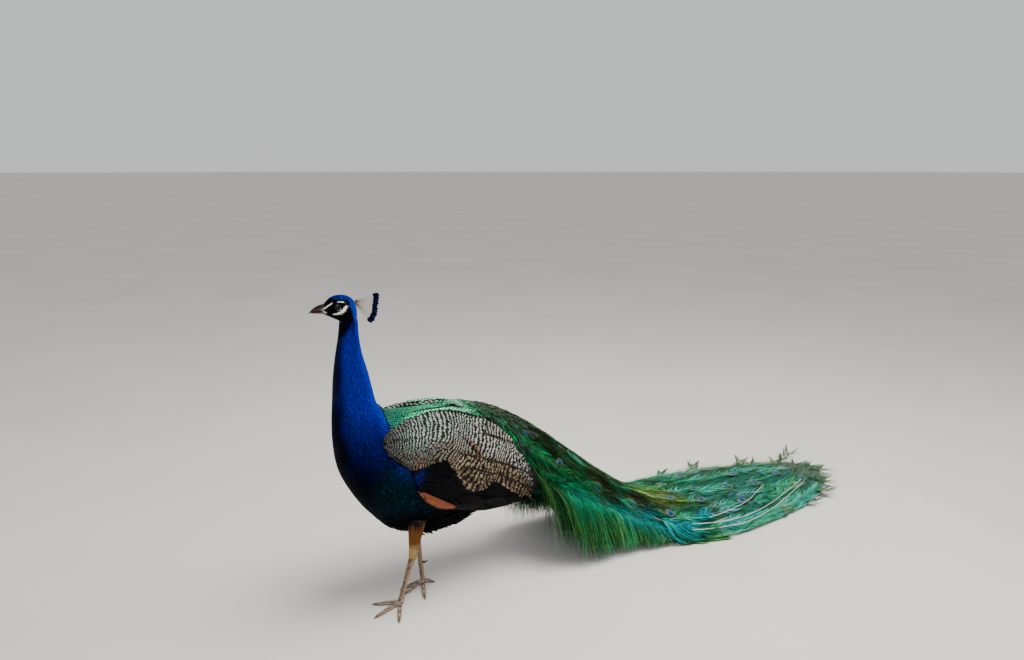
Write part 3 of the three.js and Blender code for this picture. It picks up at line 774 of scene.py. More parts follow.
def body_tone(points):
    """Neck, breast, belly and back: blue to teal to black below, emerald above."""
    y, z = points[..., 1], points[..., 2]
    upper = _BACK[:70]
    back = np.interp(z, upper[::-1, 1], upper[::-1, 0])
    front = np.interp(z, _BACK[:130][::-1, 3], _BACK[:130][::-1, 2])
    wave = ripple(points, 60, 1)
    fine = ripple(points, 22, 2)
    share = np.clip((y - back) / (front - back), 0, 1)
    # the neck is painted lighter at the back, a painted highlight, and darker to the front, under
    # the throat and low on its front, painted shade
    neck = blend(chosen("neck_highlight"), chosen("neck_blue"),
                 smooth(0.02, 0.42, share + 0.05 * wave))
    neck = blend(neck, chosen("neck_front_shade"), smooth(0.74, 1.02, share + 0.05 * wave))
    border = np.interp(z, [784, 796, 808, 820, 838], [1.08, 0.84, 0.66, 0.53, 0.42])
    throat = smooth(-0.18, 0.12, share - border + 0.03 * fine)
    streak = np.exp(-((share - 0.42) / 0.07) ** 2)
    throat = np.maximum(throat, streak * smooth(782, 806, z) * 0.85)
    neck = blend(neck, tone("#010208"), throat * 0.95)
    neck = neck * (1 - 0.65 * smooth(640, 500, z) * smooth(0.04, 0.35, share))[..., None]
    # the breast darkens downwards, with a teal sheen along its side
    down = smooth(0, 1, (530 - z - 0.22 * (y + 120) + 10 * wave) / 145)
    breast = blend(neck, chosen("breast_dark"), down)
    speck = smooth(-0.4, 0.7, ripple(points, 9, 3) + 0.4 * fine)
    sheen = smooth(490, 420, z) * smooth(-175, -110, y) * smooth(250, 320, z) * (0.3 + 0.7 * speck)
    breast = blend(breast, chosen("breast_teal"), np.clip(sheen, 0, 1) * 0.85)
    belly = smooth(330, 250, z + 6 * fine + 0.15 * (y + 60))
    under = blend(breast, chosen("belly_black"), belly)
    # emerald mantle and back, behind a line down from the base of the neck
    behind = (smooth(-5, 5, y - mantle_edge(z) + 3 * fine)
              * smooth(488, 506, z + 0.1 * np.maximum(y, 0)))
    early = blend(chosen("mantle_turquoise"), chosen("mantle_green"),
                  smooth(-90, 60, y + 20 * wave))
    mantle = blend(early, chosen("rump_green"), smooth(60, 190, y))
    return blend(under, mantle, behind)


def is_head(points):
    """1 on the head, 0 on the neck, with the change just under the throat and nape."""
    _, f, z = from_body(points)
    return smooth(-48, -36, z + np.clip(f, -40, 10) * 0.12)


def bird_tone(points):
    return blend(body_tone(points), head_tone(points), is_head(points))


# ------------------------------------------------------------------ settings
def colour_property(name, text, use):
    return FloatVectorProperty(name=name, description=use, default=linear(text), subtype="COLOR",
                               size=3, min=0, max=1)


def length_property(name, value, use):
    return FloatProperty(name=name, description=use, default=value, unit="LENGTH", min=0.0001)


class PeacockColours(PropertyGroup):
    # the bright azure is the neck's blue under a painted highlight, the front navy its blue in
    # painted shade
    neck_highlight: colour_property("Neck, bright", "#0330b8", "Azure of the nape and the neck's back")
    neck_blue: colour_property("Neck, blue", "#011788", "Cobalt of the neck and shoulders")
    neck_front_shade: colour_property("Neck, front", "#010526", "Navy down the front of the neck")
    breast_dark: colour_property("Breast, dark", "#000309", "Dark blue low on the breast")
    breast_teal: colour_property("Breast, teal", "#01232e", "Teal sheen on the breast's side")
    belly_black: colour_property("Belly", "#010203", "Black-green belly and vent")
    mantle_turquoise: colour_property("Mantle, front", "#0c6e58", "Turquoise at the neck's base")
    mantle_green: colour_property("Mantle", "#36a877", "Emerald scales between the wings")
    rump_green: colour_property("Rump", "#2a5a34", "Green of the back before the train")
    face_skin: colour_property("Face skin", "#f6f9ea", "Bare white skin above and below the eye")
    bar_pale: colour_property("Wing bars, pale", "#a19f9a", "Cream of the barred wing")
    bar_dark: colour_property("Wing bars, dark", "#151311", "Black-brown of the barred wing")
    wing_black: colour_property("Wing, black", "#020306", "Dark wing feathers with a blue sheen")
    rufous: colour_property("Primaries", "#843f20", "Rufous flight feathers")
    train_green: colour_property("Train, green", "#38b478", "Main green of the loose barbs")
    train_bronze: colour_property("Train, bronze", "#3f5a28", "Bronze of the barbs along the ridge")
    train_teal: colour_property("Train, teal", "#0cb87c", "Teal of the train's flanks")
    train_edge: colour_property("Train, edge", "#00a8b4", "Turquoise of the outer feathers")
    thigh: colour_property("Thigh", "#67401a", "Orange-buff down of the thighs")


class PeacockSizes(PropertyGroup):
    skin_voxel: length_property("Skin detail", 0.0030, "Voxel of the skin's mesh")
    neck_pitch: length_property("Neck feather pitch", 0.0028, "Spacing of rows below the head")
    body_pitch: length_property("Body feather pitch", 0.0076, "Spacing of rows on the body")
    head_pitch: length_property("Head feather pitch", 0.0016, "Spacing of rows on the head")
    bar_period: length_property("Wing bar spacing", 0.0115, "From one dark bar to the next")
    barb_pitch: length_property("Train barb pitch", 0.0038, "Spacing of barbs along a shaft")
    barb_length: length_property("Train barb length", 0.058, "Length of a loose barb")
    eyespot: length_property("Eyespot", 0.042, "Width of an eyespot with its bronze ring")
    seed: IntProperty(name="Seed", description="Seed of every random draw", default=7, min=0)


class PeacockStage(PropertyGroup):
    floor_size: length_property("Floor", 400.0, "Side of the pale floor")
    key_power: FloatProperty(name="Key light", description="Power of the large soft key light",
                             default=190.0, min=0, unit="POWER")
    fill_power: FloatProperty(name="Fill light", description="Power of the soft fill light",
                              default=30.0, min=0, unit="POWER")
    world_strength: FloatProperty(name="Sky", description="Strength of the even pale surroundings",
                                  default=0.85, min=0)


def chosen(name):
    """A colour of the settings."""
    return np.array(getattr(bpy.context.scene.peacock_colours, name))


def draws(offset):
    """The random draws of one piece, the same on each run."""
    return np.random.default_rng(bpy.context.scene.peacock_sizes.seed * 100 + offset)


# ------------------------------------------------------------------ stage
def make_stage():
    stage = bpy.context.scene.peacock_stage
    scene = bpy.context.scene
    half = stage.floor_size / 2
    floor = mesh_piece("studio_floor", [(-half, -half, 0), (half, -half, 0), (half, half, 0),
                                        (-half, half, 0)], [(0, 1, 2, 3)])
    # Painted studio floor: matt, pale and faintly uneven
    material, tree = new_material("matt_painted_floor")
    place = put(tree, "ShaderNodeTexCoord").outputs["Object"]
    grain = put(tree, "ShaderNodeTexNoise", {"Vector": place, "Scale": 1.2, "Detail": 3.0})
    paint_tone = put(tree, "ShaderNodeValToRGB", {0: grain.outputs[0]},
                     ramped([(0.3, "#d3cfc8"), (0.7, "#dad7d1")]))
    surface(tree, paint_tone.outputs[0], roughness=0.85)
    floor.data.materials.append(material)

    world = bpy.data.worlds.new("studio")
    scene.world = world
    world.use_nodes = True
    world.node_tree.nodes.clear()
    sky = put(world.node_tree, "ShaderNodeBackground", {"Color": (*linear("#e9eaec"), 1),
                                                        "Strength": stage.world_strength})
    put(world.node_tree, "ShaderNodeOutputWorld", {"Surface": sky.outputs[0]})

    def lamp(name, at, size, power, hue):
        light = bpy.data.lights.new(name, "AREA")
        light.shape, light.size, light.energy = "DISK", size, power
        light.color = linear(hue)
        holder = bpy.data.objects.new(name, light)
        holder.location = metres(at)
        way = Vector(metres((0, 250, 350))) - holder.location
        holder.rotation_euler = way.to_track_quat("-Z", "Y").to_euler()
        scene.collection.objects.link(holder)

    lamp("key", (900, 900, 3400), 2.4, stage.key_power, "#fffaf0")
    lamp("fill", (2600, -2600, 2000), 3.0, stage.fill_power, "#eef3ff")

    camera = bpy.data.objects.new("camera", bpy.data.cameras.new("camera"))
    camera.data.lens, camera.data.sensor_width = CAMERA_LENS, CAMERA_SENSOR
    camera.data.clip_end = 200
    camera.location = metres(CAMERA_AT)
    level = math.cos(CAMERA_PITCH)
    way = Vector((CAMERA_WAY[0] * level, CAMERA_WAY[1] * level, -math.sin(CAMERA_PITCH)))
    camera.rotation_euler = way.to_track_quat("-Z", "Y").to_euler()
    scene.collection.objects.link(camera)
    scene.camera = camera


# ------------------------------------------------------------------ skin
def thigh_grid(side, rows=40, columns=32, extra=0.0):
    leg = LEGS[side]
    knee, hock = (np.array(leg[k], float) for k in ("knee", "hock"))
    points = [knee, knee + (hock - knee) * 0.35, knee + (hock - knee) * 0.7, hock]
    return limb_grid(points, [r + extra for r in THIGH_RADII], rows, columns, (1, 0, 0))


def skin_depth(points):
    """How far the skin lies inside the coat, in mm."""
    z = points[..., 2]
    body = np.interp(z, [560, 700, 815], [7.0, 4.0, 2.2])
    legs = smooth(200, 150, z) * 4.0
    return body * (1 - is_head(points)) + 0.9 * is_head(points) - legs


def face_shape(points):
    """Moves of the head's skin along its normals, in mm: sockets, brows, bare skin, gape."""
    side, f, z = from_body(points)
    near = np.hypot(f - EYE["f"], z - EYE["z"])
    lateral = smooth(6, 12, np.abs(side))
    move = -1.6 * smooth(12.5, 7.5, near) * lateral
    move += 0.9 * np.exp(-(((z - 10.5 - 0.05 * f) / 3.2) ** 2) - ((f - 2) / 13) ** 2) * lateral
    move += 0.75 * bare(points)
    move -= 0.5 * (smooth(1.4, 0, np.abs(band(f, z, CRESCENT))) + smooth(1.2, 0, np.abs(
        band(f, z, BROW)))) * lateral
    gape = np.hypot(z + 9.3 + 0.1 * (26 - f), np.clip(14 - f, 0, 99) / 3)
    move -= 0.9 * smooth(1.6, 0, gape) * smooth(36, 30, f)
    fine = ripple(points, 3.2, 8)
    return move + 0.16 * fine * bare(points)


def make_skin():
    sizes = bpy.context.scene.peacock_sizes
    grids = [body_grid(150, 96), head_grid(HEAD, 60, 64), thigh_grid("L"), thigh_grid("R")]
    skin = lofted("skin", grids)
    finished(skin, [("REMESH", {"mode": "VOXEL", "voxel_size": sizes.skin_voxel}),
                    ("SMOOTH", {"factor": 0.5, "iterations": 4})])
    points, normals = vertex_arrays(skin)
    place = millimetres(points)
    move = face_shape(place) * is_head(place) - skin_depth(place)
    move_vertices(skin, points + normals * move[:, None] * MM)
    place = millimetres(vertex_arrays(skin)[0])
    tint = bird_tone(place)
    on_face = bare(place) * is_head(place)
    # the skin under the feathers is darkened to painted shade; the bare face keeps its own colour
    tint = tint * (0.42 + 0.58 * on_face)[:, None]
    low = smooth(215, 190, place[:, 2])
    tint = blend(tint, tone("#5e4526"), low)
    paint(skin, "Tint", tint)
    paint(skin, "Vane", np.stack([on_face, on_face * 0, on_face * 0], -1), "FLOAT_VECTOR")
    round_off(skin)
    # Living skin under down: matt, finely pebbled, and waxy where it is bare on the face
    material, tree = new_material("bird_skin")
    place = put(tree, "ShaderNodeTexCoord").outputs["Object"]
    pebble = put(tree, "ShaderNodeTexVoronoi",
                 {"Vector": place, "Scale": 900.0}).outputs["Distance"]
    rise = put(tree, "ShaderNodeBump", {"Height": pebble, "Strength": 0.35, "Distance": -0.0006})
    surface(tree, shaded_tint(tree, pebble, (0.0, 0.9), (1.05, 0.8)), rise.outputs[0],
            roughness=0.62, sheen_weight=0.15, subsurface_weight=0.06)
    finish(skin, material, "neck_feathers", ("head", "neck_upper", "neck_lower", "breast", "belly",
                                             "rump", "thigh_L", "thigh_R"))


# ------------------------------------------------------------------ feathers of head, neck and body
def rows_over(form, start, stop, pitch, spacing, draw, spread=0.18):
    """Roots in staggered rows from v = start to v = stop: v, u and the local row pitch in metres.

    pitch gives metres between rows at a v; spacing is the gap between neighbours as a share of it.
    """
    probes = 48  # places round a row where it is measured
    columns = np.linspace(0, 1, probes, endpoint=False)
    v, row, found = start, 0, []
    while v < stop:
        gap = float(pitch(v))
        mean = float(form.speeds(np.full(probes, v), columns)[0].mean())
        ring = form.at(np.full(probes + 1, v), np.linspace(0, 1, probes + 1))[0]
        girth = np.linalg.norm(np.diff(ring, axis=0), axis=1).sum()
        count = max(4, int(girth / (gap * spacing)))
        u = (np.arange(count) + 0.5 * (row % 2) + draw.uniform(-spread, spread, count)) / count
        step = gap / mean
        found.append((v + draw.uniform(-0.3, 0.3, count) * step, u, np.full(count, step)))
        v += step
        row += 1
    v, u, step = (np.concatenate(c) for c in zip(*found))
    return v, u, step * form.speeds(np.clip(v, 0, 0.995), u % 1.0)[0]


LAID_DROOP = 0.1  # how far a laid vane's edges hang, as a share of its half width


def lay(coat, form, v, u, length, width, shape, tints, draw, seat=0.0, lift=0.0, ridge=0.16,
        edge=0.8, root=0.6, tip=1.0, shades=None):
    """Lays one vane for each root over a form, its tip lifted clear of the next row."""
    steps, share = outline(shape)
    count = len(v)
    centres, normals = form.path(v, u, length, draw.normal(0, 0.12, count), steps)
    seat, lift = (np.broadcast_to(a, count)[:, None] for a in (seat, lift))
    centres = centres + normals * (seat + lift * steps[None] ** 1.3)[..., None]
    half = width[:, None] * 0.5 * share[None]
    shade = root + (tip - root) * steps[None] if shades is None else np.array(shades)[None]
    colour = tints[:, None] * shade[..., None]
    coat.add(centres, normals, half, colour, unwrapped(u % 1.0, v), ridge, LAID_DROOP, edge,
             seed=draw.uniform(0, 1, count))


def vary(tints, draw, spread=0.14, hue=0.05):
    """Feather to feather variation of tint."""
    level = np.exp(draw.normal(0, spread, (len(tints), 1)))
    return np.clip(tints * level * (1 + draw.normal(0, hue, (len(tints), 3))), 0, 1)


def make_head_feathers():
    sizes = bpy.context.scene.peacock_sizes
    draw = draws(1)
    form = Form(head_grid(HEAD, 80, 72), True)
    # rows run back from the bill
    form.points, form.normals = form.points[::-1].copy(), form.normals[::-1].copy()
    v, u, pitch = rows_over(form, 0.06, 0.99, lambda v: sizes.head_pitch, 1.05, draw)
    place = millimetres(form.at(v, u)[0])
    side, f, z = from_body(place)
    eye = np.hypot(f - EYE["f"], z - EYE["z"])
    keep = (bare(place) < 0.35) & ((eye > 9.3) | (np.abs(side) < 9)) & (f < 36)
    keep &= (z > -40 + 0.25 * np.clip(f, -40, 0)) & (is_head(place) > 0.02)
    v, u, pitch, place = v[keep], u[keep], pitch[keep], place[keep]
    _, f, z = from_body(place)
    coat = Coat()
    tints = vary(head_tone(place), draw, 0.16)
    length = np.clip(pitch * 2.5, 0.0025, 0.006) * np.interp(f, [-40, 10, 27, 36],
                                                             [1.35, 1.0, 0.75, 0.5])
    crown = smooth(14, 20, z)
    lay(coat, form, v, u, length, length * 0.52, TINY, tints, draw, seat=-0.0004,
        lift=0.0006 + 0.0009 * crown, root=0.55, tip=1.15)
    material = plumage("crown_feather_barbs", 0.4, 0.55, 0.5, bump=0.0002, specular_ior_level=0.05)
    coat.piece("head_feathers", material, "neck_feathers")


def make_body_feathers():
    sizes = bpy.context.scene.peacock_sizes
    draw = draws(2)
    form = Form(body_grid(220, 128), True)
    ends = [0, 0.15, 0.3, 0.48, 0.75, 1.0]
    near, far = sizes.neck_pitch, sizes.body_pitch
    spacing = [near, near * 1.3, near * 1.8, far * 0.8, far, far]
    v, u, pitch = rows_over(form, 0.012, 0.93, lambda v: np.interp(v, ends, spacing), 0.95, draw)
    at, normal = form.at(v, u)
    place = millimetres(at)
    _, y, z = place.T
    wings = [n for n in frame["nodes"] if n.startswith("wing_")]
    hidden = covered(wings, at, normal) & (y > -100)
    in_skull = (is_head(place) > 0.6) & (z > 826)
    under_train = (y > 230) & (z > 430)
    keep = ~(hidden | in_skull | under_train)
    v, u, pitch, place = (a[keep] for a in (v, u, pitch, place))
    x, y, z = place.T
    near_thigh = np.min([np.hypot(x - leg["knee"][0], y - leg["knee"][1]) for leg in LEGS.values()],
                        axis=0)
    skirt = smooth(44, 26, near_thigh) * smooth(262, 228, z)
    green = (y > mantle_edge(z) + 1) & (z > 497 - 0.1 * np.maximum(y, 0))
    tints = vary(body_tone(place), draw, 0.2, 0.05)
    groups = {"neck_feathers": (v < 0.235) & ~green, "breast_feathers": (v >= 0.235) & ~green,
              "mantle_feathers": green}
    glossy = plumage("neck_feather_barbs", 0.55, 0.55, 0.55, bump=0.0002, specular_ior_level=0.05)
    satin = plumage("breast_feather_barbs", 0.3, 0.6, 0.9, bump=0.0003, specular_ior_level=0.01)
    scaly = plumage("mantle_feather_barbs", 0.55, 0.36, 0.9, (0.6, 1.35), bump=0.0005,
                    specular_ior_level=0.2)
    finishes = {"neck_feathers": (glossy, "neck_feathers"),
                "breast_feathers": (satin, "breast_feathers"),
                "mantle_feathers": (scaly, "back_feathers")}
    for name, pick in groups.items():
        coat = Coat()
        a, b, gap, hue, where = v[pick], u[pick], pitch[pick], tints[pick], place[pick]
        if name == "mantle_feathers":
            lay(coat, form, a, b, gap * 2.1, gap * 1.5, SCALE, hue, draw, seat=0.001, lift=0.003,
                edge=0.3, ridge=0.12, shades=(0.05, 0.5, 1.3, 0.5))
        else:
            loose = (smooth(300, 235, where[:, 2]) * (name == "breast_feathers")
                     * (1 + 1.2 * skirt[pick]))
            lift = 0.0004 + 0.07 * gap + 0.008 * loose * draw.uniform(0, 1, len(a))
            lay(coat, form, a, b, gap * (3.0 + 1.2 * loose), gap * 1.15, ROUND, hue, draw,
                seat=-0.0008 - 0.05 * gap, lift=lift, root=0.8, tip=1.08, edge=0.92, ridge=0.10)
        coat.piece(name, *finishes[name])


# ------------------------------------------------------------------ face
def make_eyes():
    # Eyeball: wet, near-black brown iris round a black pupil under a clear cornea
    material, tree = new_material("wet_cornea_over_brown_iris")
    vane = put(tree, "ShaderNodeAttribute", attribute_name="Vane").outputs["Vector"]
    parts = put(tree, "ShaderNodeSeparateXYZ", {0: vane})
    spokes = put(tree, "ShaderNodeTexNoise", {"Vector": vane, "Scale": 9.0, "Detail": 3.0})
    ringed = put(tree, "ShaderNodeMath", {0: spokes.outputs[0], 1: 0.06, 2: parts.outputs[0]},
                 operation="MULTIPLY_ADD")
    colour = put(tree, "ShaderNodeValToRGB", {0: ringed.outputs[0]}, ramped([
        (0.0, "#020202"), (0.2, "#030302"), (0.235, "#180a04"), (0.33, "#241006"),
        (0.38, "#0a0503"), (0.45, "#020202")]))
    surface(tree, colour.outputs[0], roughness=0.2, specular_ior_level=0.1, coat_weight=0.18,
            coat_roughness=0.02, ior=1.38)
    # Eyelid: thin black skin in fine folds
    lid, tree = new_material("folded_black_lid_skin")
    place = put(tree, "ShaderNodeTexCoord").outputs["Object"]
    crease = put(tree, "ShaderNodeTexNoise", {"Vector": place, "Scale": 1500.0, "Detail": 2.0})
    rise = put(tree, "ShaderNodeBump", {"Height": crease.outputs[0], "Strength": 0.4,
                                        "Distance": 0.0003})
    colour = put(tree, "ShaderNodeValToRGB", {0: crease.outputs[0]},
                 ramped([(0.3, "#030304"), (0.7, "#0d0e10")]))
    surface(tree, colour.outputs[0], rise.outputs[0], roughness=0.55, specular_ior_level=0.2)
    for side, sign in (("L", 1), ("R", -1)):
        centre = np.array([sign * EYE["side"], EYE["f"], EYE["z"]])
        out = np.array([sign * 0.985, 0.17, 0.02])
        out /= np.linalg.norm(out)
        fore = np.cross([0, 0, 1.0], out) * -sign
        fore /= np.linalg.norm(fore)
        rise_way = np.cross(out, fore) * (1 if np.cross(out, fore)[2] > 0 else -1)
        rows, columns = 28, 40
        polar = np.linspace(0.0, np.pi, rows)[:, None]
        turn = np.linspace(0, 2 * np.pi, columns, endpoint=False)[None]
        radius = EYE["radius"] - 0.35 + 0.5 * smooth(0.75, 0.35, polar)

        def ball(polar, turn, radius):
            across = np.sin(polar) * radius
            point = (centre + out * (np.cos(polar) * radius)[..., None]
                     + fore * (np.cos(turn) * across)[..., None]
                     + rise_way * (np.sin(turn) * across)[..., None])
            return in_head(point[..., 0], point[..., 1], point[..., 2])

        grid = ball(polar, turn, np.broadcast_to(radius, (rows, columns)))
        eye = lofted(f"eyeball_{side}", [grid])
        marks = np.concatenate([np.stack(np.broadcast_arrays(polar / np.pi, np.cos(turn),
                                                             np.sin(turn)), -1).reshape(-1, 3),
                                [[0, 0, 0], [1, 0, 0]]])
        paint(eye, "Vane", marks, "FLOAT_VECTOR")
        finish(eye, material, "eye", (f"eye_{side}",))
        # the lids: a ring with an almond opening, closed behind, folded on its outside
        steps = np.linspace(0, 1, 13)[:, None]
        opening = 0.80 + 0.16 * np.cos(turn) ** 2 - 0.05 * np.sin(turn) * (np.sin(turn) > 0)
        outer = 1.42
        spread = opening + (outer - opening) * steps
        folds = 0.13 * np.sin(steps * 19) * smooth(0.05, 0.3, steps)
        cover = EYE["radius"] + 0.25 + 0.75 * np.sin(np.clip(steps * 2.2, 0, np.pi / 2)) + folds
        face = ball(spread, turn, cover + 0 * turn)
        back = ball(spread[::-1], turn, EYE["radius"] - 0.55 + 0 * (turn + steps))
        loop = np.concatenate([face, back, face[:1]])
        piece = turned_out(mesh_piece(f"eyelids_{side}", metres(loop[:-1]).reshape(-1, 3),
                                      np.concatenate([grid_faces(len(loop) - 1, columns),
                                                      closing(len(loop) - 1, columns)])))
        finish(piece, lid, "eye")


def closing(rows, columns):
    """Quads from the last row of a grid back to its first."""
    j = np.arange(columns)
    k = (j + 1) % columns
    low = (rows - 1) * columns
    return np.stack([low + j, low + k, k, j], -1)


def make_bill():
    # Bill: keratin horn, dark along the ridge and paler at the base, with fine growth lines
    material, tree = new_material("grey_keratin_horn")
    place = put(tree, "ShaderNodeTexCoord").outputs["Object"]
    stretched = put(tree, "ShaderNodeMapping", {"Vector": place, "Rotation": (0, 0, -HEAD_YAW),
                                                "Scale": (900, 160, 900)})
    streak = put(tree, "ShaderNodeTexNoise", {"Vector": stretched.outputs[0], "Scale": 1.0,
                                              "Detail": 3.0})
    rise = put(tree, "ShaderNodeBump", {"Height": streak.outputs[0], "Strength": 0.3,
                                        "Distance": 0.0003})
    surface(tree, shaded_tint(tree, streak.outputs[0], (0.3, 0.7), (0.8, 1.15)), rise.outputs[0],
            roughness=0.45, specular_ior_level=0.2)
    for name, table, widest in (("bill_upper", BILL_UPPER, 0.2), ("bill_lower", BILL_LOWER, 0.8)):
        table = [[10, table[0][1] - 1, table[0][2] + 1, table[0][3] - 1.5]] + table
        grid = head_grid(table, 60, 36, widest)
        side, f, z = from_body(grid)
        if name == "bill_upper":
            # the nostril is a slot under a raised horny lid, and the tip turns down
            slot = np.hypot((f - 40) / 4.4, (z - 0.2 + 0.35 * (f - 40) * 0.3) / 1.35)
            lid = np.hypot((f - 39) / 5.8, (z - 2.6) / 2.0)
            side = side * (1 - 0.30 * smooth(1.25, 0.4, slot) + 0.10 * smooth(1.2, 0.3, lid))
            ridge = smooth(0.25, 0.0, np.abs(side) / 8) * 0.35 * smooth(30, 40, f)
            z = z + ridge * (z > -4)
            z = z - 1.2 * smooth(66, 72, f)
        else:
            z = z + 0.4 * smooth(0.4, 0.0, np.abs(side) / 7) * (z > -11)
        piece = lofted(f"{name}_horn", [in_head(side, f, z)])
        _, f, z = from_body(millimetres(vertex_arrays(piece)[0]))
        top = smooth(-6, 4, z + 0.15 * (f - 30)) if name == "bill_upper" else z * 0
        tint = blend(tone("#57423b"), tone("#171211"), top)
        tint = blend(tint, tone("#857a68"),
                     smooth(44, 38, f) * (0.1 if name == "bill_upper" else 0.7))
        tint = blend(tint, tone("#1d1514"), smooth(50, 64, f) * 0.85) * 0.5
        cere = np.exp(-((f - 37.5) / 4.5) ** 2 - ((z + 5.5) / 3.2) ** 2)
        tint = blend(tint, tone("#8f8d78"), cere * 0.7)
        paint(piece, "Tint", tint)
        finish(piece, material, "bill", (name,))


POINT_VECTORS = ("aim", "front", "grow")  # the way a copy runs, the way it faces, and its scale


def repeat_tree(name):
    """Node group that sets a shape on every point, turned and scaled by the point's vectors."""
    tree = bpy.data.node_groups.new(name, "GeometryNodeTree")
    face = tree.interface
    face.new_socket("Points", in_out="INPUT", socket_type="NodeSocketGeometry")
    face.new_socket("Shape", in_out="INPUT", socket_type="NodeSocketObject")
    face.new_socket("Finish", in_out="INPUT", socket_type="NodeSocketMaterial")
    face.new_socket("Geometry", in_out="OUTPUT", socket_type="NodeSocketGeometry")
    given = put(tree, "NodeGroupInput")
    shape = put(tree, "GeometryNodeObjectInfo", {"Object": given.outputs["Shape"]})
    aim, front, grow = (put(tree, "GeometryNodeInputNamedAttribute", {"Name": name},
                            data_type="FLOAT_VECTOR") for name in POINT_VECTORS)
    turn = put(tree, "FunctionNodeAxesToRotation", {0: aim.outputs[0], 1: front.outputs[0]},
               primary_axis="Y", secondary_axis="Z")
    placed = put(tree, "GeometryNodeInstanceOnPoints", {
        "Points": given.outputs["Points"], "Instance": shape.outputs["Geometry"],
        "Rotation": turn.outputs[0], "Scale": grow.outputs[0]})
    real = put(tree, "GeometryNodeRealizeInstances", {0: placed.outputs[0]})
    painted = put(tree, "GeometryNodeSetMaterial", {"Geometry": real.outputs[0],
                                                    "Material": given.outputs["Finish"]})
    put(tree, "NodeGroupOutput", {0: painted.outputs[0]})
    return tree


def repeated(name, shape, at, aim, front, grow, material, slot, replaces=()):
    """Sets copies of a shape on points through the repeat tree, and keeps the plain mesh."""
    piece = mesh_piece(name, at)
    for key, values in zip(POINT_VECTORS, (aim, front, grow)):
        paint(piece, key, np.asarray(values, float), "FLOAT_VECTOR")
    tree = bpy.data.node_groups.get("set_on_points") or repeat_tree("set_on_points")
    modifier = piece.modifiers.new("Repeat", "NODES")
    modifier.node_group = tree
    sockets = {s.name: s.identifier for s in tree.interface.items_tree if s.in_out == "INPUT"}
    modifier[sockets["Shape"]] = shape
    modifier[sockets["Finish"]] = material
    finished(piece, [])
    for key in POINT_VECTORS:
        if key in piece.data.attributes:
            piece.data.attributes.remove(piece.data.attributes[key])
    bpy.data.objects.remove(shape)
    return finish(piece, material, slot, replaces)


def make_crest():
    count = CREST["count"]
    # One plume, rooted at the origin and running along +Y for 1: a bare shaft with a fan of blades
    coat = Coat()
    up = np.array([0, 0, 1.0])
    line = np.linspace(0, 1, 7)
    shaft = np.stack([line * 0, line, 0.012 * np.sin(line * np.pi)], -1)[None]
    coat.add(shaft, np.broadcast_to(up, shaft.shape), 0.0120 * (1.15 - 0.5 * line)[None],
             blend(tone("#8e7f6c"), tone("#0a1040"), smooth(0.72, 0.86, line))[None],
             np.zeros((1, 2)),
             ridge=1.0, edge=0.9)
    draw = draws(3)
    blades = 17
    for layer in (-1, 1):
        root = np.linspace(0.76, 0.90, blades)
        angle = np.linspace(0.95, 0.12, blades) * np.where(np.arange(blades) % 2, 1, -1)
        steps, share = outline(LOOSE)
        reach = 0.12 * np.sin(np.linspace(0.8, 2.1, blades)) + 0.02
        centres = np.stack([np.sin(angle)[:, None] * reach[:, None] * steps,
                            root[:, None] + np.cos(angle)[:, None] * reach[:, None] * steps,
                            layer * 0.012 + 0.02 * layer * steps
                            * draw.uniform(0.4, 1.2, (blades, 1))], -1)
        coat.add(centres, np.broadcast_to(up, centres.shape), 0.020 * share[None],
                 vary(np.tile(tone("#03072e"), (blades, 1)), draw), np.zeros((blades, 2)),
                 ridge=0.3)
    blue = plumage("crest_tip_barbs", 0.5, 0.45, 0.03, bump=0.0002, specular_ior_level=0.1)
    shape = coat.piece("plume", blue, "neck_feathers")
    shape.parent = None
    share = np.linspace(0, 1, count)
    # the top plume stands close to the next and is narrower than the others
    angle = np.radians(CREST["top"] - 2.5 + (CREST["bottom"] - CREST["top"] + 2.5) * share)
    angle[0] -= 0.05
    length = (CREST["length"] + 2.5 * smooth(0.3, 0, share)
              + CREST["droop"] * smooth(0.4, 0.85, share) + draws(31).uniform(-1.5, 1.5, count))
    middle = in_head(0, 0, 0)
    aim = in_head(0, -np.cos(angle), np.sin(angle)) - middle
    front = np.tile(in_head(1, 0, 0) - middle, (count, 1))
    front += draws(32).normal(0, 0.25, (count, 1)) * np.cross(front, aim)
    root = in_head(draws(33).uniform(-1.5, 1.5, count), CREST["f"] + 3.0,
                   CREST["z"] + 7 * np.sin(angle))
    grow = np.tile((length[:, None] + 3) * MM, (1, 3))
    grow[0, 0] *= 0.6
    repeated("crest_plumes", shape, metres(root), aim, front, grow, blue, "neck_feathers",
             replaces=("crest",))


# ------------------------------------------------------------------ legs
def make_thigh_down():
    draw = draws(4)
    # Down of the thigh: loose, silky and matt, lying down the leg
    down = plumage("silky_thigh_down", 0.0, 0.75, 0.7, (0.7, 1.25), sheen_weight=0.04,
                   specular_ior_level=0.05)
    for side in "LR":
        form = Form(thigh_grid(side, 60, 48, 0.0), True)
        v, u, _ = rows_over(form, 0.02, 0.93, lambda v: 0.0034, 0.75, draw, 0.45)
        place = millimetres(form.at(v, u)[0])
        tint = blend(chosen("thigh"), tone("#a88c5c"), smooth(208, 172, place[:, 2]))
        tint = blend(tint, tone("#4d3a24"), smooth(150, 138, place[:, 2]) * 0.7)
        cover = smooth(251, 259, place[:, 2] + draw.normal(0, 3, len(v)))
        tint = blend(tint, chosen("belly_black"), cover)
        length = np.clip(0.024 - 0.012 * v, 0.008, 0.03)
        coat = Coat()
        lay(coat, form, v, u, length, length * 0.2, LOOSE, vary(tint, draw, 0.2), draw, seat=-0.001,
            lift=0.0012, root=0.7, tip=1.1, edge=0.9, ridge=0.3)
        coat.piece(f"thigh_down_{side}", down, "thigh_down")


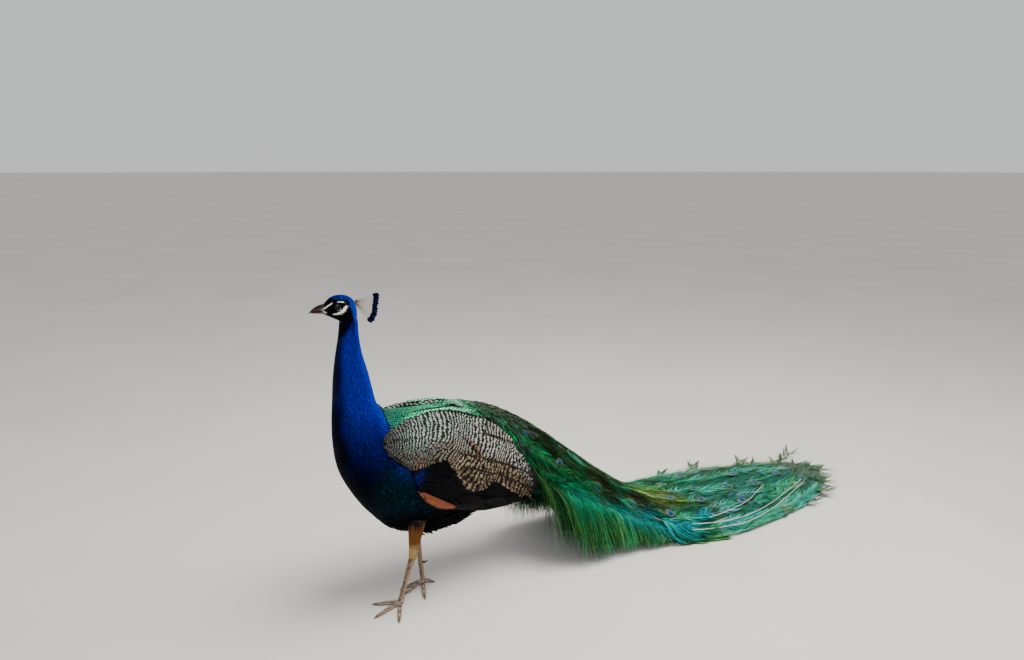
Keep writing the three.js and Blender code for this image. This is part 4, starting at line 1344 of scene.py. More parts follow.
def toe_lines(leg):
    """For each toe its points from the foot's middle to the claw, and its heading."""
    foot = np.array(leg["foot"], float)
    for toe, (heading, length) in leg["toes"].items():
        way = np.array([math.sin(math.radians(heading)), -math.cos(math.radians(heading)), 0])
        start = np.array([foot[0], foot[1], 5.5])
        end = start + way * length
        end[2] = 3
        arch = start + (end - start) * 0.45
        arch[2] = 6.5 if toe == "hind" else 5.2
        yield toe, way, np.array([start, arch, end])


def make_legs():
    # Leg skin: tough scaled hide, satin, painted darker in front as shade and pinkish behind
    hide, tree = new_material("scaled_leg_hide")
    place = put(tree, "ShaderNodeTexCoord").outputs["Object"]
    cells = put(tree, "ShaderNodeTexVoronoi", {"Vector": place, "Scale": 420.0},
                feature="DISTANCE_TO_EDGE")
    shade = put(tree, "ShaderNodeMapRange",
                {0: cells.outputs[0], 1: 0.0, 2: 0.12, 3: 0.62, 4: 1.05})
    mottle = put(tree, "ShaderNodeTexNoise", {"Vector": place, "Scale": 130.0, "Detail": 3.0})
    uneven = put(tree, "ShaderNodeMapRange",
                 {0: mottle.outputs[0], 1: 0.3, 2: 0.7, 3: 0.8, 4: 1.15})
    level = put(tree, "ShaderNodeMath", {0: shade.outputs[0], 1: uneven.outputs[0]},
                operation="MULTIPLY")
    colour = put(tree, "ShaderNodeAttribute", attribute_name="Tint").outputs["Color"]
    mixed = put(tree, "ShaderNodeVectorMath", {0: colour, 1: level.outputs[0]},
                operation="MULTIPLY")
    rise = put(tree, "ShaderNodeBump", {"Height": cells.outputs[0], "Strength": 0.6,
                                        "Distance": 0.0015})
    surface(tree, mixed.outputs[0], rise.outputs[0], roughness=0.5)
    # Scutes: overlapping horny plates, smooth and slightly glossy
    plate, tree = new_material("horny_leg_scute")
    place = put(tree, "ShaderNodeTexCoord").outputs["Object"]
    patch = put(tree, "ShaderNodeTexNoise", {"Vector": place, "Scale": 150.0, "Detail": 2.0})
    colour = put(tree, "ShaderNodeValToRGB", {0: patch.outputs[0]},
                 ramped([(0.36, "#3d2c1f"), (0.5, "#705941"), (0.66, "#99825f")]))
    surface(tree, colour.outputs[0], roughness=0.42)
    # Claws: dark horn, streaked paler
    claw_horn, tree = new_material("dark_claw_horn")
    place = put(tree, "ShaderNodeTexCoord").outputs["Object"]
    streak = put(tree, "ShaderNodeTexNoise", {"Vector": place, "Scale": 260.0, "Detail": 3.0})
    colour = put(tree, "ShaderNodeValToRGB", {0: streak.outputs[0]},
                 ramped([(0.3, "#211a17"), (0.6, "#3f342c"), (0.8, "#6a5b4c")]))
    surface(tree, colour.outputs[0], roughness=0.35, ior=1.54)
    for side, leg in LEGS.items():
        hock, foot = (np.array(leg[k], float) for k in ("hock", "foot"))
        shank = limb_grid([hock + [0, 2, 6], hock, hock + (foot - hock) * 0.5, foot],
                          [(8, 7), *SHANK], 60, 28, (1, 0, 0))
        knob = limb_grid([hock + [0, 0, 9], hock + [0, 1, 0], hock + (foot - hock) * 0.12],
                         [(7.5, 6.5), (12, 9.2), (8.8, 6.6)], 14, 28, (1, 0, 0))
        grids = [shank, knob]
        for toe, _, line in toe_lines(leg):
            grid = limb_grid(line, TOE_RADII, 56, 24)
            count = 2 if toe == "hind" else 4
            t = np.linspace(0, 1, 56)
            joints = 1 + 0.13 * np.cos(t * 2 * np.pi * count) * smooth(0.05, 0.2, t)
            middle = grid.mean(1, keepdims=True)
            grids.append(middle + (grid - middle) * joints[:, None, None])
        ball = limb_grid([foot + [0, 9, -5], foot + [0, 0, -5], foot + [0, -9, -5]],
                         [(4.5, 6), (7, 9), (4.5, 6)], 16, 28, (1, 0, 0))
        piece = lofted(f"leg_hide_{side}", [*grids, ball])
        finished(piece, [("REMESH", {"mode": "VOXEL", "voxel_size": LEG_VOXEL}),
                         ("SMOOTH", {"factor": 0.5, "iterations": 5})])
        points = vertex_arrays(piece)[0]
        points[:, 2] = np.maximum(points[:, 2], 0.0)
        move_vertices(piece, points)
        place = millimetres(points)
        way = (foot - hock) / np.linalg.norm(foot - hock)
        run = (place - hock) @ way
        ahead = -((place - hock) - run[:, None] * way)[:, 1]
        # the shank is darker in front, painted shade; the toes are lighter on top, painted light,
        # and darker below, painted shade
        tint = blend(tone("#96795f"), tone("#4c3828"), smooth(1.0, 4.5, ahead))
        toes = smooth(16, 9, place[:, 2])
        tint = blend(tint, blend(tone("#6f5f54"), tone("#a3938a"), smooth(2, 8, place[:, 2])), toes)
        tint = blend(tint, tone("#54402c"), smooth(hock[2] - 8, hock[2] + 2, place[:, 2]) * 0.8)
        paint(piece, "Tint", tint)
        round_off(piece)
        finish(piece, hide, "leg_scales", (f"shank_{side}", f"foot_{side}"))

        # scutes overlap like tiles down the front of the shank and along each toe
        at, aim, front, grow = [], [], [], []
        forward = np.array([0, -1.0, 0])
        forward = unit(forward - way * (forward @ way))
        lateral = np.cross(way, forward)
        length = np.linalg.norm(foot - hock)
        for t in np.arange(0.06, 0.97, 4.6 / length):
            depth, width = curve(SHANK, 101)[int(t * 100)]
            for lean in (-0.42, 0.42):
                outwards = forward * math.cos(lean) + lateral * math.sin(lean)
                spot = hock + (foot - hock) * t + (forward * math.cos(lean) * depth
                                                   + lateral * math.sin(lean) * width) * 0.94
                at.append(spot + way * (1.1 if lean > 0 else -1.1))
                aim.append(way)
                front.append(outwards)
                grow.append([width * 0.74, 5.6, 2.6])
        for toe, way_out, line in toe_lines(leg):
            path = curve(line, 60)
            reach = np.linalg.norm(line[-1] - line[0])
            for t in np.arange(0.10 if toe != "hind" else 0.25, 0.97, 4.4 / reach):
                radius = np.interp(t, (0, 0.33, 0.66, 1), TOE_RADII)
                at.append(path[int(t * 59)] + [0, 0, radius * 0.92])
                aim.append(way_out + [0, 0, -0.05])
                front.append([0, 0, 1.0])
                grow.append([radius * 0.98, 5.0, 1.8])
        u = np.linspace(-1, 1, 7)[None]
        v = np.linspace(0, 1, 5)[:, None]
        width = np.sqrt(np.clip(1.02 - (v * 0.9) ** 3.2, 0.02, 1))
        top = np.stack(np.broadcast_arrays(u * width, v * 1.25 - 0.25,
                                           0.42 * np.sqrt(np.clip(1.0 - u ** 2 * 0.96, 0, 1))
                                           * (0.6 + 0.5 * v)
                                           - 0.18), -1)
        low = top - [0, 0, 0.22]
        points = np.concatenate([top.reshape(-1, 3), low.reshape(-1, 3)])
        quads = np.concatenate([grid_faces(5, 7, False), grid_faces(5, 7, False, 35)[:, ::-1]])
        rim = [0, 1, 2, 3, 4, 5, 6, 13, 20, 27, 34, 33, 32, 31, 30, 29, 28, 21, 14, 7]
        wall = [(a, b, b + 35, a + 35) for a, b in zip(rim, rim[1:] + rim[:1])]
        tile = turned_out(mesh_piece("scute", points, np.concatenate([quads, wall])))
        repeated(f"leg_scutes_{side}", tile, metres(at), aim, front, np.array(grow) * MM, plate,
                 "leg_scales")

        # claws and the spur: curved cones of horn
        for toe, way_out, line in toe_lines(leg):
            root = line[-1] - way_out * 3
            root[2] = 4.2
            mid = root + way_out * CLAW_LENGTH * 0.55
            tip = root + way_out * CLAW_LENGTH
            mid[2], tip[2] = 4.6, 1.3
            grid = limb_grid([root, mid, tip], [2.9, 2.2, 0.45], 22, 18)
            grid[..., 2] = np.maximum(grid[..., 2], 0.6)
            finish(lofted(f"claw_horn_{toe}_{side}", [grid]), claw_horn, "claw",
                   (f"claw_{toe}_{side}",))
        inner = -1 if side == "L" else 1
        root = hock + (foot - hock) * 0.62 + [inner * 2, 4, 0]
        line = [root, root + [inner * 6, 8, 1], root + [inner * 9, SPUR_LENGTH, 6]]
        finish(lofted(f"spur_horn_{side}", [limb_grid(line, [4, 2.6, 0.6], 24, 18)]), claw_horn,
               "claw", (f"spur_{side}",))


# ------------------------------------------------------------------ wings
# Outlines of the folded wing in side view, y and z, from the shoulder to the tip
WING_TOP = [(-129, 514), (-121, 530), (-101, 548), (-72, 561), (-44, 573), (-11, 581), (31, 583),
            (66, 580), (101, 573), (127, 560), (154, 541), (186, 517), (219, 494), (247, 471),
            (267, 451), (284, 435), (297, 411), (322, 371), (342, 336), (363, 288), (363, 264)]
WING_MIDDLE = [(-131, 510), (-116, 486), (-92, 460), (-68, 438), (-50, 424), (-20, 418), (11, 426),
               (63, 425), (80, 402), (91, 380), (104, 356), (124, 332), (147, 312), (170, 308),
               (192, 314), (208, 328), (232, 317), (266, 290), (297, 271), (322, 258), (344, 249)]
WING_LOW = [(-58, 426), (-50, 408), (-42, 390), (-30, 368), (-18, 346), (-4, 328), (12, 310),
            (34, 292), (60, 282), (92, 276), (125, 270), (169, 257), (217, 245), (266, 238),
            (307, 233), (346, 240)]
SCAPULAR_TIP = [(182, 479), (212, 465), (245, 451), (286, 433)]  # its lower edge
COVERT_RIMS = [[(98, 438), (168, 410), (237, 379), (290, 352), (352, 312)],
               [(112, 396), (180, 366), (240, 338), (300, 304), (340, 280)]]


def bar_places(s, r):
    """Millimetres along the bars' count at each place of the wing, so that bars meet."""
    run = np.interp(s, [0, 0.1, 0.3, 0.5, 0.7, 0.85, 1, 1.3], [0, 80, 232, 364, 484, 568, 658, 842])
    turned = -14 * smooth(0, 0.32, r) + 46 * smooth(0.55, 1.0, r) * smooth(0.72, 0.4, s)
    return run + turned - 35 * r * smooth(0.45, 0.95, s)


def between(upper, lower, s, r):
    """Points of a side view between two outlines: s along them, r from the upper to the lower."""
    a, b = curve(upper, 241), curve(lower, 241)
    place = np.clip(s, 0, 1) * 239.99
    i = place.astype(int)
    f = (place - i)[..., None]
    top = a[i] * (1 - f) + a[i + 1] * f
    low = b[i] * (1 - f) + b[i + 1] * f
    return top * (1 - r[..., None]) + low * r[..., None]


def wing_roots(upper, lower, pitch, spacing, draw, start=0.0, stop=1.0):
    """Staggered roots along a folded wing; pitch in mm at s. Gives s, r and the pitch."""
    s, row, found = start, 0, []
    while s < stop:
        gap = float(pitch(s))
        ends = between(upper, lower, np.array([s, s]), np.array([0.0, 1.0]))
        depth = np.linalg.norm(ends[1] - ends[0])
        count = max(2, int(round(depth / (gap * spacing))) + 1)
        r = (np.arange(count) + 0.5 * (row % 2) + draw.uniform(-0.16, 0.16, count)) / (count - 0.5)
        r = r[(r > -0.06) & (r < 1.0)]
        middle = between(upper, lower, np.array([s, min(s + 0.01, 1.0)]), np.array([0.5, 0.5]))
        speed = np.linalg.norm(middle[1] - middle[0]) / 0.01
        found.append((s + draw.uniform(-0.25, 0.25, len(r)) * gap / speed, r, np.full(len(r), gap)))
        s += gap / max(speed, 60)
        row += 1
    return (np.concatenate(c) for c in zip(*found))


def wing_lay(coat, flank, upper, lower, s, r, length, width, shape, tints, draw, seat, lift,
             edge=0.8, root=0.7, tip=1.0, sway=0.06):
    """Lays vanes along a folded wing; length, width, seat and lift in mm."""
    steps, share = outline(shape)
    ahead = between(upper, lower, np.clip(s + 0.01, 0, 1), r)
    before = between(upper, lower, np.clip(s - 0.01, 0, 1), r)
    speed = np.linalg.norm(ahead - before, axis=1) / 0.02
    # each vane follows the flow of the wing, turned a little at its root
    places = s[:, None] + (length / np.maximum(speed, 200))[:, None] * steps[None]
    line = between(upper, lower, places, np.broadcast_to(r[:, None], places.shape))
    turn = draw.normal(0, sway, len(s))[:, None] * length[:, None] * steps[None]
    way = unit(ahead - before)
    past = np.maximum(places - 1, 0) * speed[:, None]
    line = (line + way[:, None] * past[..., None]
            + np.stack([-way[:, 1], way[:, 0]], -1)[:, None] * turn[..., None])
    centres, normals = flank.at(line[..., 0], line[..., 1])
    rise = np.asarray(seat).reshape(-1, 1) + np.asarray(lift).reshape(-1, 1) * steps[None]
    centres = centres + normals * (rise * MM)[..., None]
    colour = tints[:, None] * (root + (tip - root) * steps[None])[..., None]
    half = width[:, None] * 0.0005 * share[None]
    # bars line up from vane to vane: they are counted along the wing, not from each root
    along = bar_places(places, r[:, None]) + draw.uniform(-0.5, 0.5, len(s))[:, None]
    coat.add(centres, normals, half, colour, unwrapped(s, r), 0.12, 0.05, edge, along=along,
             seed=draw.uniform(0, 1, len(s)))


def roof(tree, points):
    """The top of some solids straight under or over each point, and the way it faces."""
    hits = [tree.ray_cast(Vector((x, y, 0.8)), Vector((0, 0, -1.0))) for x, y, _ in points]
    found = np.array([h[0] if h[0] is not None else p for h, p in zip(hits, points)])
    normals = np.array([h[1] if h[1] is not None else (0, 0, 1) for h in hits])
    return found, unit(normals + [0, 0, 0.7])


def barred_material():
    """Vane with wavy black-brown and cream bars across it, matt."""
    sizes = bpy.context.scene.peacock_sizes
    material, tree = new_material("barred_covert_barbs")
    tint = put(tree, "ShaderNodeAttribute", attribute_name="Tint").outputs["Color"]
    lines, parts = barb_lines(tree, 0.8)
    period = sizes.bar_period * 1000
    # bars wander together over the wing, and bow towards the tip at each shaft
    place = put(tree, "ShaderNodeTexCoord").outputs["Object"]
    wander = put(tree, "ShaderNodeTexNoise", {"Vector": place, "Scale": 66.0, "Detail": 1.0,
                                              "Roughness": 0.6})
    shiver = put(tree, "ShaderNodeTexNoise", {"Vector": place, "Scale": 200.0, "Detail": 1.5})
    out = put(tree, "ShaderNodeMath", {0: parts.outputs[0]}, operation="ABSOLUTE")
    bow = put(tree, "ShaderNodeMath", {0: out.outputs[0], 1: -0.25, 2: parts.outputs[1]},
              operation="MULTIPLY_ADD")
    moved = put(tree, "ShaderNodeMath", {0: wander.outputs[0], 1: 14.0, 2: bow.outputs[0]},
                operation="MULTIPLY_ADD")
    jagged = put(tree, "ShaderNodeMath", {0: shiver.outputs[0], 1: 8.0, 2: moved.outputs[0]},
                 operation="MULTIPLY_ADD")
    phase = put(tree, "ShaderNodeMath", {0: jagged.outputs[0], 1: 2 * math.pi / period},
                operation="MULTIPLY")
    wave = put(tree, "ShaderNodeMath", {0: phase.outputs[0]}, operation="SINE")
    rough = put(tree, "ShaderNodeMath", {0: lines, 1: 0.45, 2: wave.outputs[0]},
                operation="MULTIPLY_ADD")
    level = put(tree, "ShaderNodeMapRange", {0: rough.outputs[0], 1: -0.6, 2: 1.15})
    dark = chosen("bar_dark")
    bars = put(tree, "ShaderNodeValToRGB", {0: level.outputs[0]}, [
        (0.0, dark), (0.46, dark), (0.62, linear("#6a6763")), (0.80, chosen("bar_pale"))])
    colour = put(tree, "ShaderNodeVectorMath", {0: bars.outputs[0], 1: tint}, operation="MULTIPLY")
    rise = put(tree, "ShaderNodeBump", {"Height": lines, "Strength": 0.35, "Distance": 0.0004})
    surface(tree, colour.outputs[0], rise.outputs[0], roughness=0.6, specular_ior_level=0.15)
    return material


def stacked_blades(coat, flank, starts, ends, sag, widths, seats, tints, draw):
    """Long blades, one over the other, between points of the wing's side view."""
    steps, share = outline(BLADE)
    for k, (start, end) in enumerate(zip(starts, ends)):
        line = np.array(start)[None] + np.subtract(end, start)[None] * steps[:, None]
        line[:, 1] -= sag[k] * np.sin(np.pi * steps ** 0.85)
        centres, normals = flank.at(line[None, :, 0], line[None, :, 1])
        centres = centres + normals * MM * seats[k]
        coat.add(centres, normals, widths[k] * 0.0005 * share[None],
                 vary(tints[k][None], draw, 0.07),
                 np.array([[0.5, 0.02 + 0.9 * k / len(starts)]]), 0.1, 0.02, 0.72)


def make_wings():
    barred = barred_material()
    # Dark wing feathers: black keratin with a faint blue structural gloss
    dark = plumage("blue_black_wing_barbs", 0.3, 0.5, 0.8, (0.5, 1.5), specular_ior_level=0.04)
    rust = plumage("rufous_primary_barbs", 0.0, 0.55, 0.8, (0.75, 1.2), specular_ior_level=0.3)
    # Shadowed bases of the wing feathers under the outer vanes
    base, tree = new_material("shadowed_feather_bases")
    place = put(tree, "ShaderNodeTexCoord").outputs["Object"]
    grain = put(tree, "ShaderNodeTexNoise", {"Vector": place, "Scale": 160.0, "Detail": 3.0})
    surface(tree, shaded_tint(tree, grain.outputs[0], (0.35, 0.65), (0.35, 1.6)), roughness=0.8,
            specular_ior_level=0.1)
    for side, sign in (("L", 1), ("R", -1)):
        draw = draws(10 if sign > 0 else 11)
        flank = Flank(sign)
        nodes = wing_nodes(side)
        bases = inner_layer(f"wing_bases_{side}", nodes, 0.0045, 0.0045, base, "dark_wing_feathers")
        place, facing = vertex_arrays(bases)
        place = millimetres(place)
        level = np.interp(place[:, 1], [-130, 60, 100, 360], [440, 425, 345, 262])
        hue = blend(tone("#020203"), tone("#2e2c29"), smooth(-8, 8, place[:, 2] - level))
        top = np.interp(place[:, 1], [0, 66, 101, 127, 154, 186, 219],
                        [566, 562, 552, 538, 518, 494, 470])
        paint(bases, "Tint", blend(hue, chosen("mantle_green") * 0.5,
                                   smooth(20, 50, place[:, 1]) * np.maximum(
                                       smooth(-8, 0, place[:, 2] - top - 8),
                                       smooth(0.2, 0.5, facing[:, 2])
                                       * smooth(-30, -20, place[:, 2] - top))))

        # dark feathers first: they lie lowest
        coat = Coat()
        s, r, gap = wing_roots(WING_MIDDLE, WING_LOW, lambda s: 9 + 5 * s, 0.95, draw, 0.06, 0.97)
        at = between(WING_MIDDLE, WING_LOW, s, r)
        sheen = np.exp(-((at[:, 0] + 46) / 12) ** 2 - ((at[:, 1] - 408) / 15) ** 2)
        tint = blend(chosen("wing_black"), tone("#080d60"), np.clip(sheen * draw.uniform(
            0.2, 1.3, len(s)), 0, 1) * 0.85)
        wing_lay(coat, flank, WING_MIDDLE, WING_LOW, s, r, gap * 3.4, gap * 1.9, ROUND,
                 vary(tint, draw, 0.2), draw, seat=np.full(len(s), -3.0), lift=np.full(len(s), 1.6),
                 root=0.7, tip=1.2)
        # long secondaries: stiff blades stacked to the wing's rear
        t = np.linspace(0, 1, 9)
        starts = np.stack([-18 + 70 * t, 356 - 66 * t + 10 * np.sin(3 * t)], -1)
        ends = np.stack([342 - 6 * t, 247 - 10 * t], -1)
        stacked_blades(coat, flank, starts, ends, 24 * (0.55 + 0.3 * t), np.full(9, 22.0),
                       -1.8 + 2.0 * t,
                       np.tile(chosen("wing_black"), (9, 1)), draw)
        coat.piece(f"dark_wing_feathers_{side}", dark, "dark_wing_feathers")

        # rufous primaries show under the dark panel: a boat of six blades
        coat = Coat()
        t = np.linspace(0, 1, 6)
        starts = np.stack([-30 + 8 * t, 360 - 13 * t], -1)
        ends = np.stack([82 + 4 * np.sin(3 * t), 285 - 3 * t], -1)
        tints = blend(np.tile(chosen("rufous"), (6, 1)), tone("#4a2410"), 0.6 * (1 - t))
        stacked_blades(coat, flank, starts, ends, 2 + 14 * t, 10 + 3 * np.sin(3 * t), 0.4 + 0.5 * t,
                       tints, draw)
        coat.piece(f"primaries_{side}", rust, "primaries")

        # barred coverts and scapulars, growing towards the rear
        coat = Coat()
        s, r, gap = wing_roots(WING_TOP, WING_MIDDLE, lambda s: 7.0 + 4.5 * s, 0.92, draw, 0.0,
                               0.97)
        at = between(WING_TOP, WING_MIDDLE, s, r)
        low_rear = smooth(0.22, 0.6, s + 0.35 * (r - 0.5)) * smooth(0.28, 0.7, r)
        low_front = smooth(0.45, 0.8, r) * smooth(0.48, 0.22, s)
        grey = smooth(0.62, 0.2, s) * smooth(1.0, 0.4, r) * (0.6 + 0.4 * ripple(
            np.stack([at[:, 0], at[:, 1], at[:, 0] * 0], -1), 40, 12))
        tint = np.tile([0.95, 1.0, 1.02], (len(s), 1))
        tint = blend(tint, np.array([0.72, 0.52, 0.33]), low_rear * 0.95)
        tint = blend(tint, np.array([0.20, 0.185, 0.155]), low_front * 0.9)
        tint = blend(tint, np.array([0.34, 0.66, 0.58]), np.clip(grey, 0, 1) * 0.9)
        tint = blend(tint, np.array([0.19, 0.205, 0.21]), smooth(0.2, 0.06, s))
        tint = blend(tint, np.array([0.28, 0.21, 0.17]), smooth(0.82, 0.95, s) * 0.85)
        gold = smooth(0.25, 1.0, ripple(np.stack([at[:, 0], at[:, 1], at[:, 0] * 0], -1), 26, 13))
        gold = gold * smooth(0.45, 0.8, r) * smooth(0.55, 0.4, s)
        brown = np.maximum(gold,
                           np.exp(-((at[:, 0] + 46) / 18) ** 2 - ((at[:, 1] - 430) / 14) ** 2))
        tint = blend(tint, np.array([0.46, 0.28, 0.14]), np.clip(brown, 0, 1) * 0.75)
        long = gap * (2.6 + 1.8 * low_rear)
        wing_lay(coat, flank, WING_TOP, WING_MIDDLE, s, r, long, gap * 1.75, ROUND,
                 vary(tint, draw, 0.1, 0.02), draw, seat=np.full(len(s), -2.0),
                 lift=0.6 + 0.05 * gap, root=0.86, tip=1.06, edge=0.92)
        # larger vanes with dark rims low at the rear
        n = 46
        s = draw.uniform(0.44, 0.95, n)
        s.sort()
        r = draw.uniform(0.42, 0.93, n)
        tint = vary(np.tile([0.66, 0.48, 0.31], (n, 1)), draw, 0.12, 0.03)
        wing_lay(coat, flank, WING_TOP, WING_MIDDLE, s, r, draw.uniform(38, 58, n),
                 draw.uniform(15, 20, n), ROUND, tint, draw, seat=draw.uniform(-0.4, 0.5, n),
                 lift=np.full(n, 1.6), root=0.7, tip=1.05, edge=0.42, sway=0.05)
        # the rear scapulars lie over the coverts, with a row of black vanes along their lower edge
        n = 20
        s = np.linspace(0.56, 0.79, n)
        top = between(WING_TOP, WING_TOP, s, np.zeros(n))
        low = curve(SCAPULAR_TIP, n)
        for lane in np.linspace(0.12, 1.0, 6):
            here = top + (low - top) * lane
            way = unit(np.gradient(here, axis=0))
            steps, share = outline(ROUND)
            size = 32 + 8 * lane
            line = here[:, None] + way[:, None] * (size * steps)[None, :, None]
            centres, normals = flank.at(line[..., 0], line[..., 1])
            centres = centres + normals * (MM * (0.4 + 2.0 * steps))[None, :, None]
            dim = np.array([0.02, 0.02, 0.02]) if lane == 1.0 else np.array([0.8, 0.8, 0.78])
            tint = (vary(np.tile(dim, (n, 1)), draw, 0.08, 0.02)[:, None]
                    * (0.6 + 0.5 * steps)[None, :, None])
            broad = 0.0098 if lane < 1 else np.linspace(0.0035, 0.0085, n)[:, None]
            coat.add(centres, normals, broad * share[None], tint,
                     np.stack([s, np.full(n, lane)], -1), 0.12, 0.05, 0.85,
                     along=bar_places(s, lane * 0.3)[:, None] + (size * steps)[None],
                     seed=draw.uniform(0, 1, n))
        # small barred feathers wrap over the wing's top towards the back
        tree = solid_tree(nodes)
        ridge = curve(WING_TOP[6:9] if sign > 0 else WING_TOP[2:7], 28 if sign > 0 else 48)
        top = flank.at(ridge[:, 0], ridge[:, 1])[0]
        way = unit(np.gradient(top, axis=0))
        whole = curve(WING_TOP, 241)
        share_along = np.interp(ridge[:, 0], whole[:, 0], np.linspace(0, 1, 241))
        for inward in (-4, 0, 4, 8, 12, 16):
            root, facing = roof(tree, top + [-sign * MM * inward, 0, 0])
            near = np.abs(root[:, 2] - top[:, 2]) < 0.012
            steps, share = outline(ROUND)
            line = root[near, None] + way[near, None] * (0.019 * steps)[None, :, None]
            line = line + facing[near, None] * (MM * (-0.6 + 1.6 * steps))[None, :, None]
            count = share_along[near]
            coat.add(line, np.broadcast_to(facing[near, None], line.shape), 0.0064 * share[None],
                     vary(np.tile([0.56, 0.72, 0.67], (len(count), 1)), draw, 0.10, 0.02),
                     np.stack([count, np.full(len(count), 0.02)], -1), 0.10, 0.05, 0.95,
                     along=bar_places(count, 0.0)[:, None] + (19 * steps)[None],
                     seed=draw.uniform(0, 1, len(count)))
        # dark rims of the long coverts run down and back in two lines
        for rim in COVERT_RIMS:
            line = curve(rim, 26)
            way = unit(np.gradient(line, axis=0))
            steps, share = outline(LOOSE)
            path = line[:, None] + way[:, None] * (26 * steps)[None, :, None]
            centres, normals = flank.at(path[..., 0], path[..., 1])
            centres = centres + normals * (MM * (1.5 + 1.2 * steps))[None, :, None]
            coat.add(centres, normals, 0.0026 * share[None], np.tile([0.12, 0.08, 0.05], (26, 1)),
                     np.stack([np.linspace(0.3, 0.9, 26), np.full(26, 0.7)], -1), 0.1)
        coat.piece(f"barred_feathers_{side}", barred, "barred_feathers")


def make_cape():
    """Green scale feathers over the back, between the wings and up to the train."""
    draw = draws(12)
    names = [f"wing_{part}_{side}" for part in ("scapulars", "coverts") for side in "LR"]
    tree = solid_tree([*names, "rump", "train_back"])
    y, x = np.meshgrid(np.arange(-80, 262, 4.0), np.arange(-76, 77, 4.0), indexing="ij")
    z = roof(
        tree, metres(np.stack([x, y, x * 0], -1)).reshape(-1, 3))[0][:, 2].reshape(x.shape) * 1000
    z = np.where(z < 300, 520.0, z)
    # the feathers bridge the grooves between the wings and the back
    for _ in range(8):
        edge = np.pad(z, 1, mode="edge")
        z = np.maximum(z, (edge[2:, 1:-1] + edge[:-2, 1:-1] + edge[1:-1, 2:] + edge[1:-1, :-2]) / 4)
    fall, tilt = np.gradient(z, 4.0)
    rows = np.repeat(np.arange(-66, 236, 6.0), 24)
    across = (np.tile(np.arange(24), len(rows) // 24) - 11.5 + 0.5 * (rows / 6 % 2)) * 6.6
    rows = rows + draw.uniform(-1.2, 1.2, len(rows))
    across = across + draw.uniform(-1.0, 1.0, len(rows))
    wide = np.interp(rows, [-66, -20, 60, 120, 170, 236], [22, 36, 44, 52, 58, 50])
    near = np.maximum(wide, np.interp(rows, [-66, -20, 10, 40], [56, 58, 50, 44]))
    keep = (across > -wide) & (across < near)
    rows, across = rows[keep], across[keep]
    steps, share = outline(SCALE)
    line_y = rows[:, None] + 15 * steps[None]
    line_x = across[:, None] * (1 + 0.06 * steps[None])
    i, j = (line_y + 80) / 4, (line_x + 76) / 4
    a, b = i.astype(int), j.astype(int)
    fi, fj = i - a, j - b

    def between_cells(grid):
        near = grid[a, b] * (1 - fj) + grid[a, b + 1] * fj
        far = grid[a + 1, b] * (1 - fj) + grid[a + 1, b + 1] * fj
        return near * (1 - fi) + far * fi

    normals = unit(np.stack([-between_cells(tilt), -between_cells(fall), line_y * 0 + 1], -1))
    centres = np.stack([line_x, line_y, between_cells(z)], -1)
    over = 4.0 * smooth(70, 105, rows) * smooth(205, 175, rows)
    centres = centres + normals * (over[:, None] - 0.5 + 2.6 * steps[None])[..., None]
    tint = blend(np.tile(chosen("mantle_green"), (len(rows), 1)), chosen("rump_green"),
                 smooth(146, 196, rows + draw.uniform(-16, 16, len(rows))))
    tint = blend(tint, tone("#84dcb4"), smooth(-30, 80, rows) * smooth(172, 130, rows) * 0.75)
    coat = Coat()
    coat.add(metres(centres), normals, 0.0052 * share[None],
             vary(tint, draw, 0.25, 0.06)[:, None] * np.array((0.3, 0.7, 1.35, 0.5))[None, :, None],
             np.stack([0.5 + across / 200, rows / 400 + 0.3], -1), 0.12, 0.05, 0.35)
    coat.piece("cape_feathers", bpy.data.materials["mantle_feather_barbs"], "back_feathers")


def inner_layer(name, nodes, voxel, depth, material, slot):
    """A smooth closed layer inside the given solids, by the depth of the feathers over it."""
    corners, faces = solid_faces(nodes)
    mesh = bpy.data.meshes.new(name)
    mesh.from_pydata(corners, [], faces)
    piece = bpy.data.objects.new(name, mesh)
    bpy.context.scene.collection.objects.link(piece)
    finished(piece, [("WELD", {"merge_threshold": 0.00002}),
                     ("REMESH", {"mode": "VOXEL", "voxel_size": voxel}),
                     ("SMOOTH", {"factor": 0.5, "iterations": 3})])
    points, normals = vertex_arrays(piece)
    points -= normals * depth
    points[:, 2] = np.maximum(points[:, 2], 0.001)
    move_vertices(piece, points)
    round_off(piece)
    return finish(piece, material, slot, nodes)


# ------------------------------------------------------------------ train
REACH = 1.3  # the train's surface runs this far past its half width
# Eyespots placed one by one: y along the train and the share of its half width
EYESPOTS = [(345, 0.86), (372, 0.62), (469, 0.77), (590, 0.81), (707, 0.82), (848, 0.74),
            (1011, -0.26), (1037, 0.39), (1218, 0.13), (1341, -0.23), (1341, 0.25), (1180, 0.56),
            (1500, 0.10), (925, 0.30), (1150, -0.45)]
SPOTS_SHOWN = 0.3  # share of the other feathers that show an eyespot
# Long bare white shafts, three by the near edge and one by the far edge
WHITE_SHAFTS = [
    [(891, 0.94), (1011, 0.95), (1124, 0.95), (1259, 0.89), (1409, 0.78), (1549, 0.67)],
    [(905, 0.88), (1020, 0.89), (1130, 0.88), (1262, 0.82), (1405, 0.71), (1540, 0.60)],
    [(978, 0.81), (1090, 0.74), (1211, 0.63), (1347, 0.41)],
    [(905, -0.90), (960, -0.93), (1030, -0.93)],
]
# Fish-tail tips that have no eyespot: y, share of the half width, heading in degrees, reach in mm
FISHTAILS = [(1500, -0.84, -38, 70), (1655, -0.72, -14, 84), (1690, -0.1, -4, 60),
             (1690, 0.3, 16, 64),
             (1610, 0.62, 30, 58), (1540, 0.9, 44, 60), (1440, 0.96, 52, 52), (1180, -1.0, -60, 44),
             (1330, -0.98, -52, 50)]


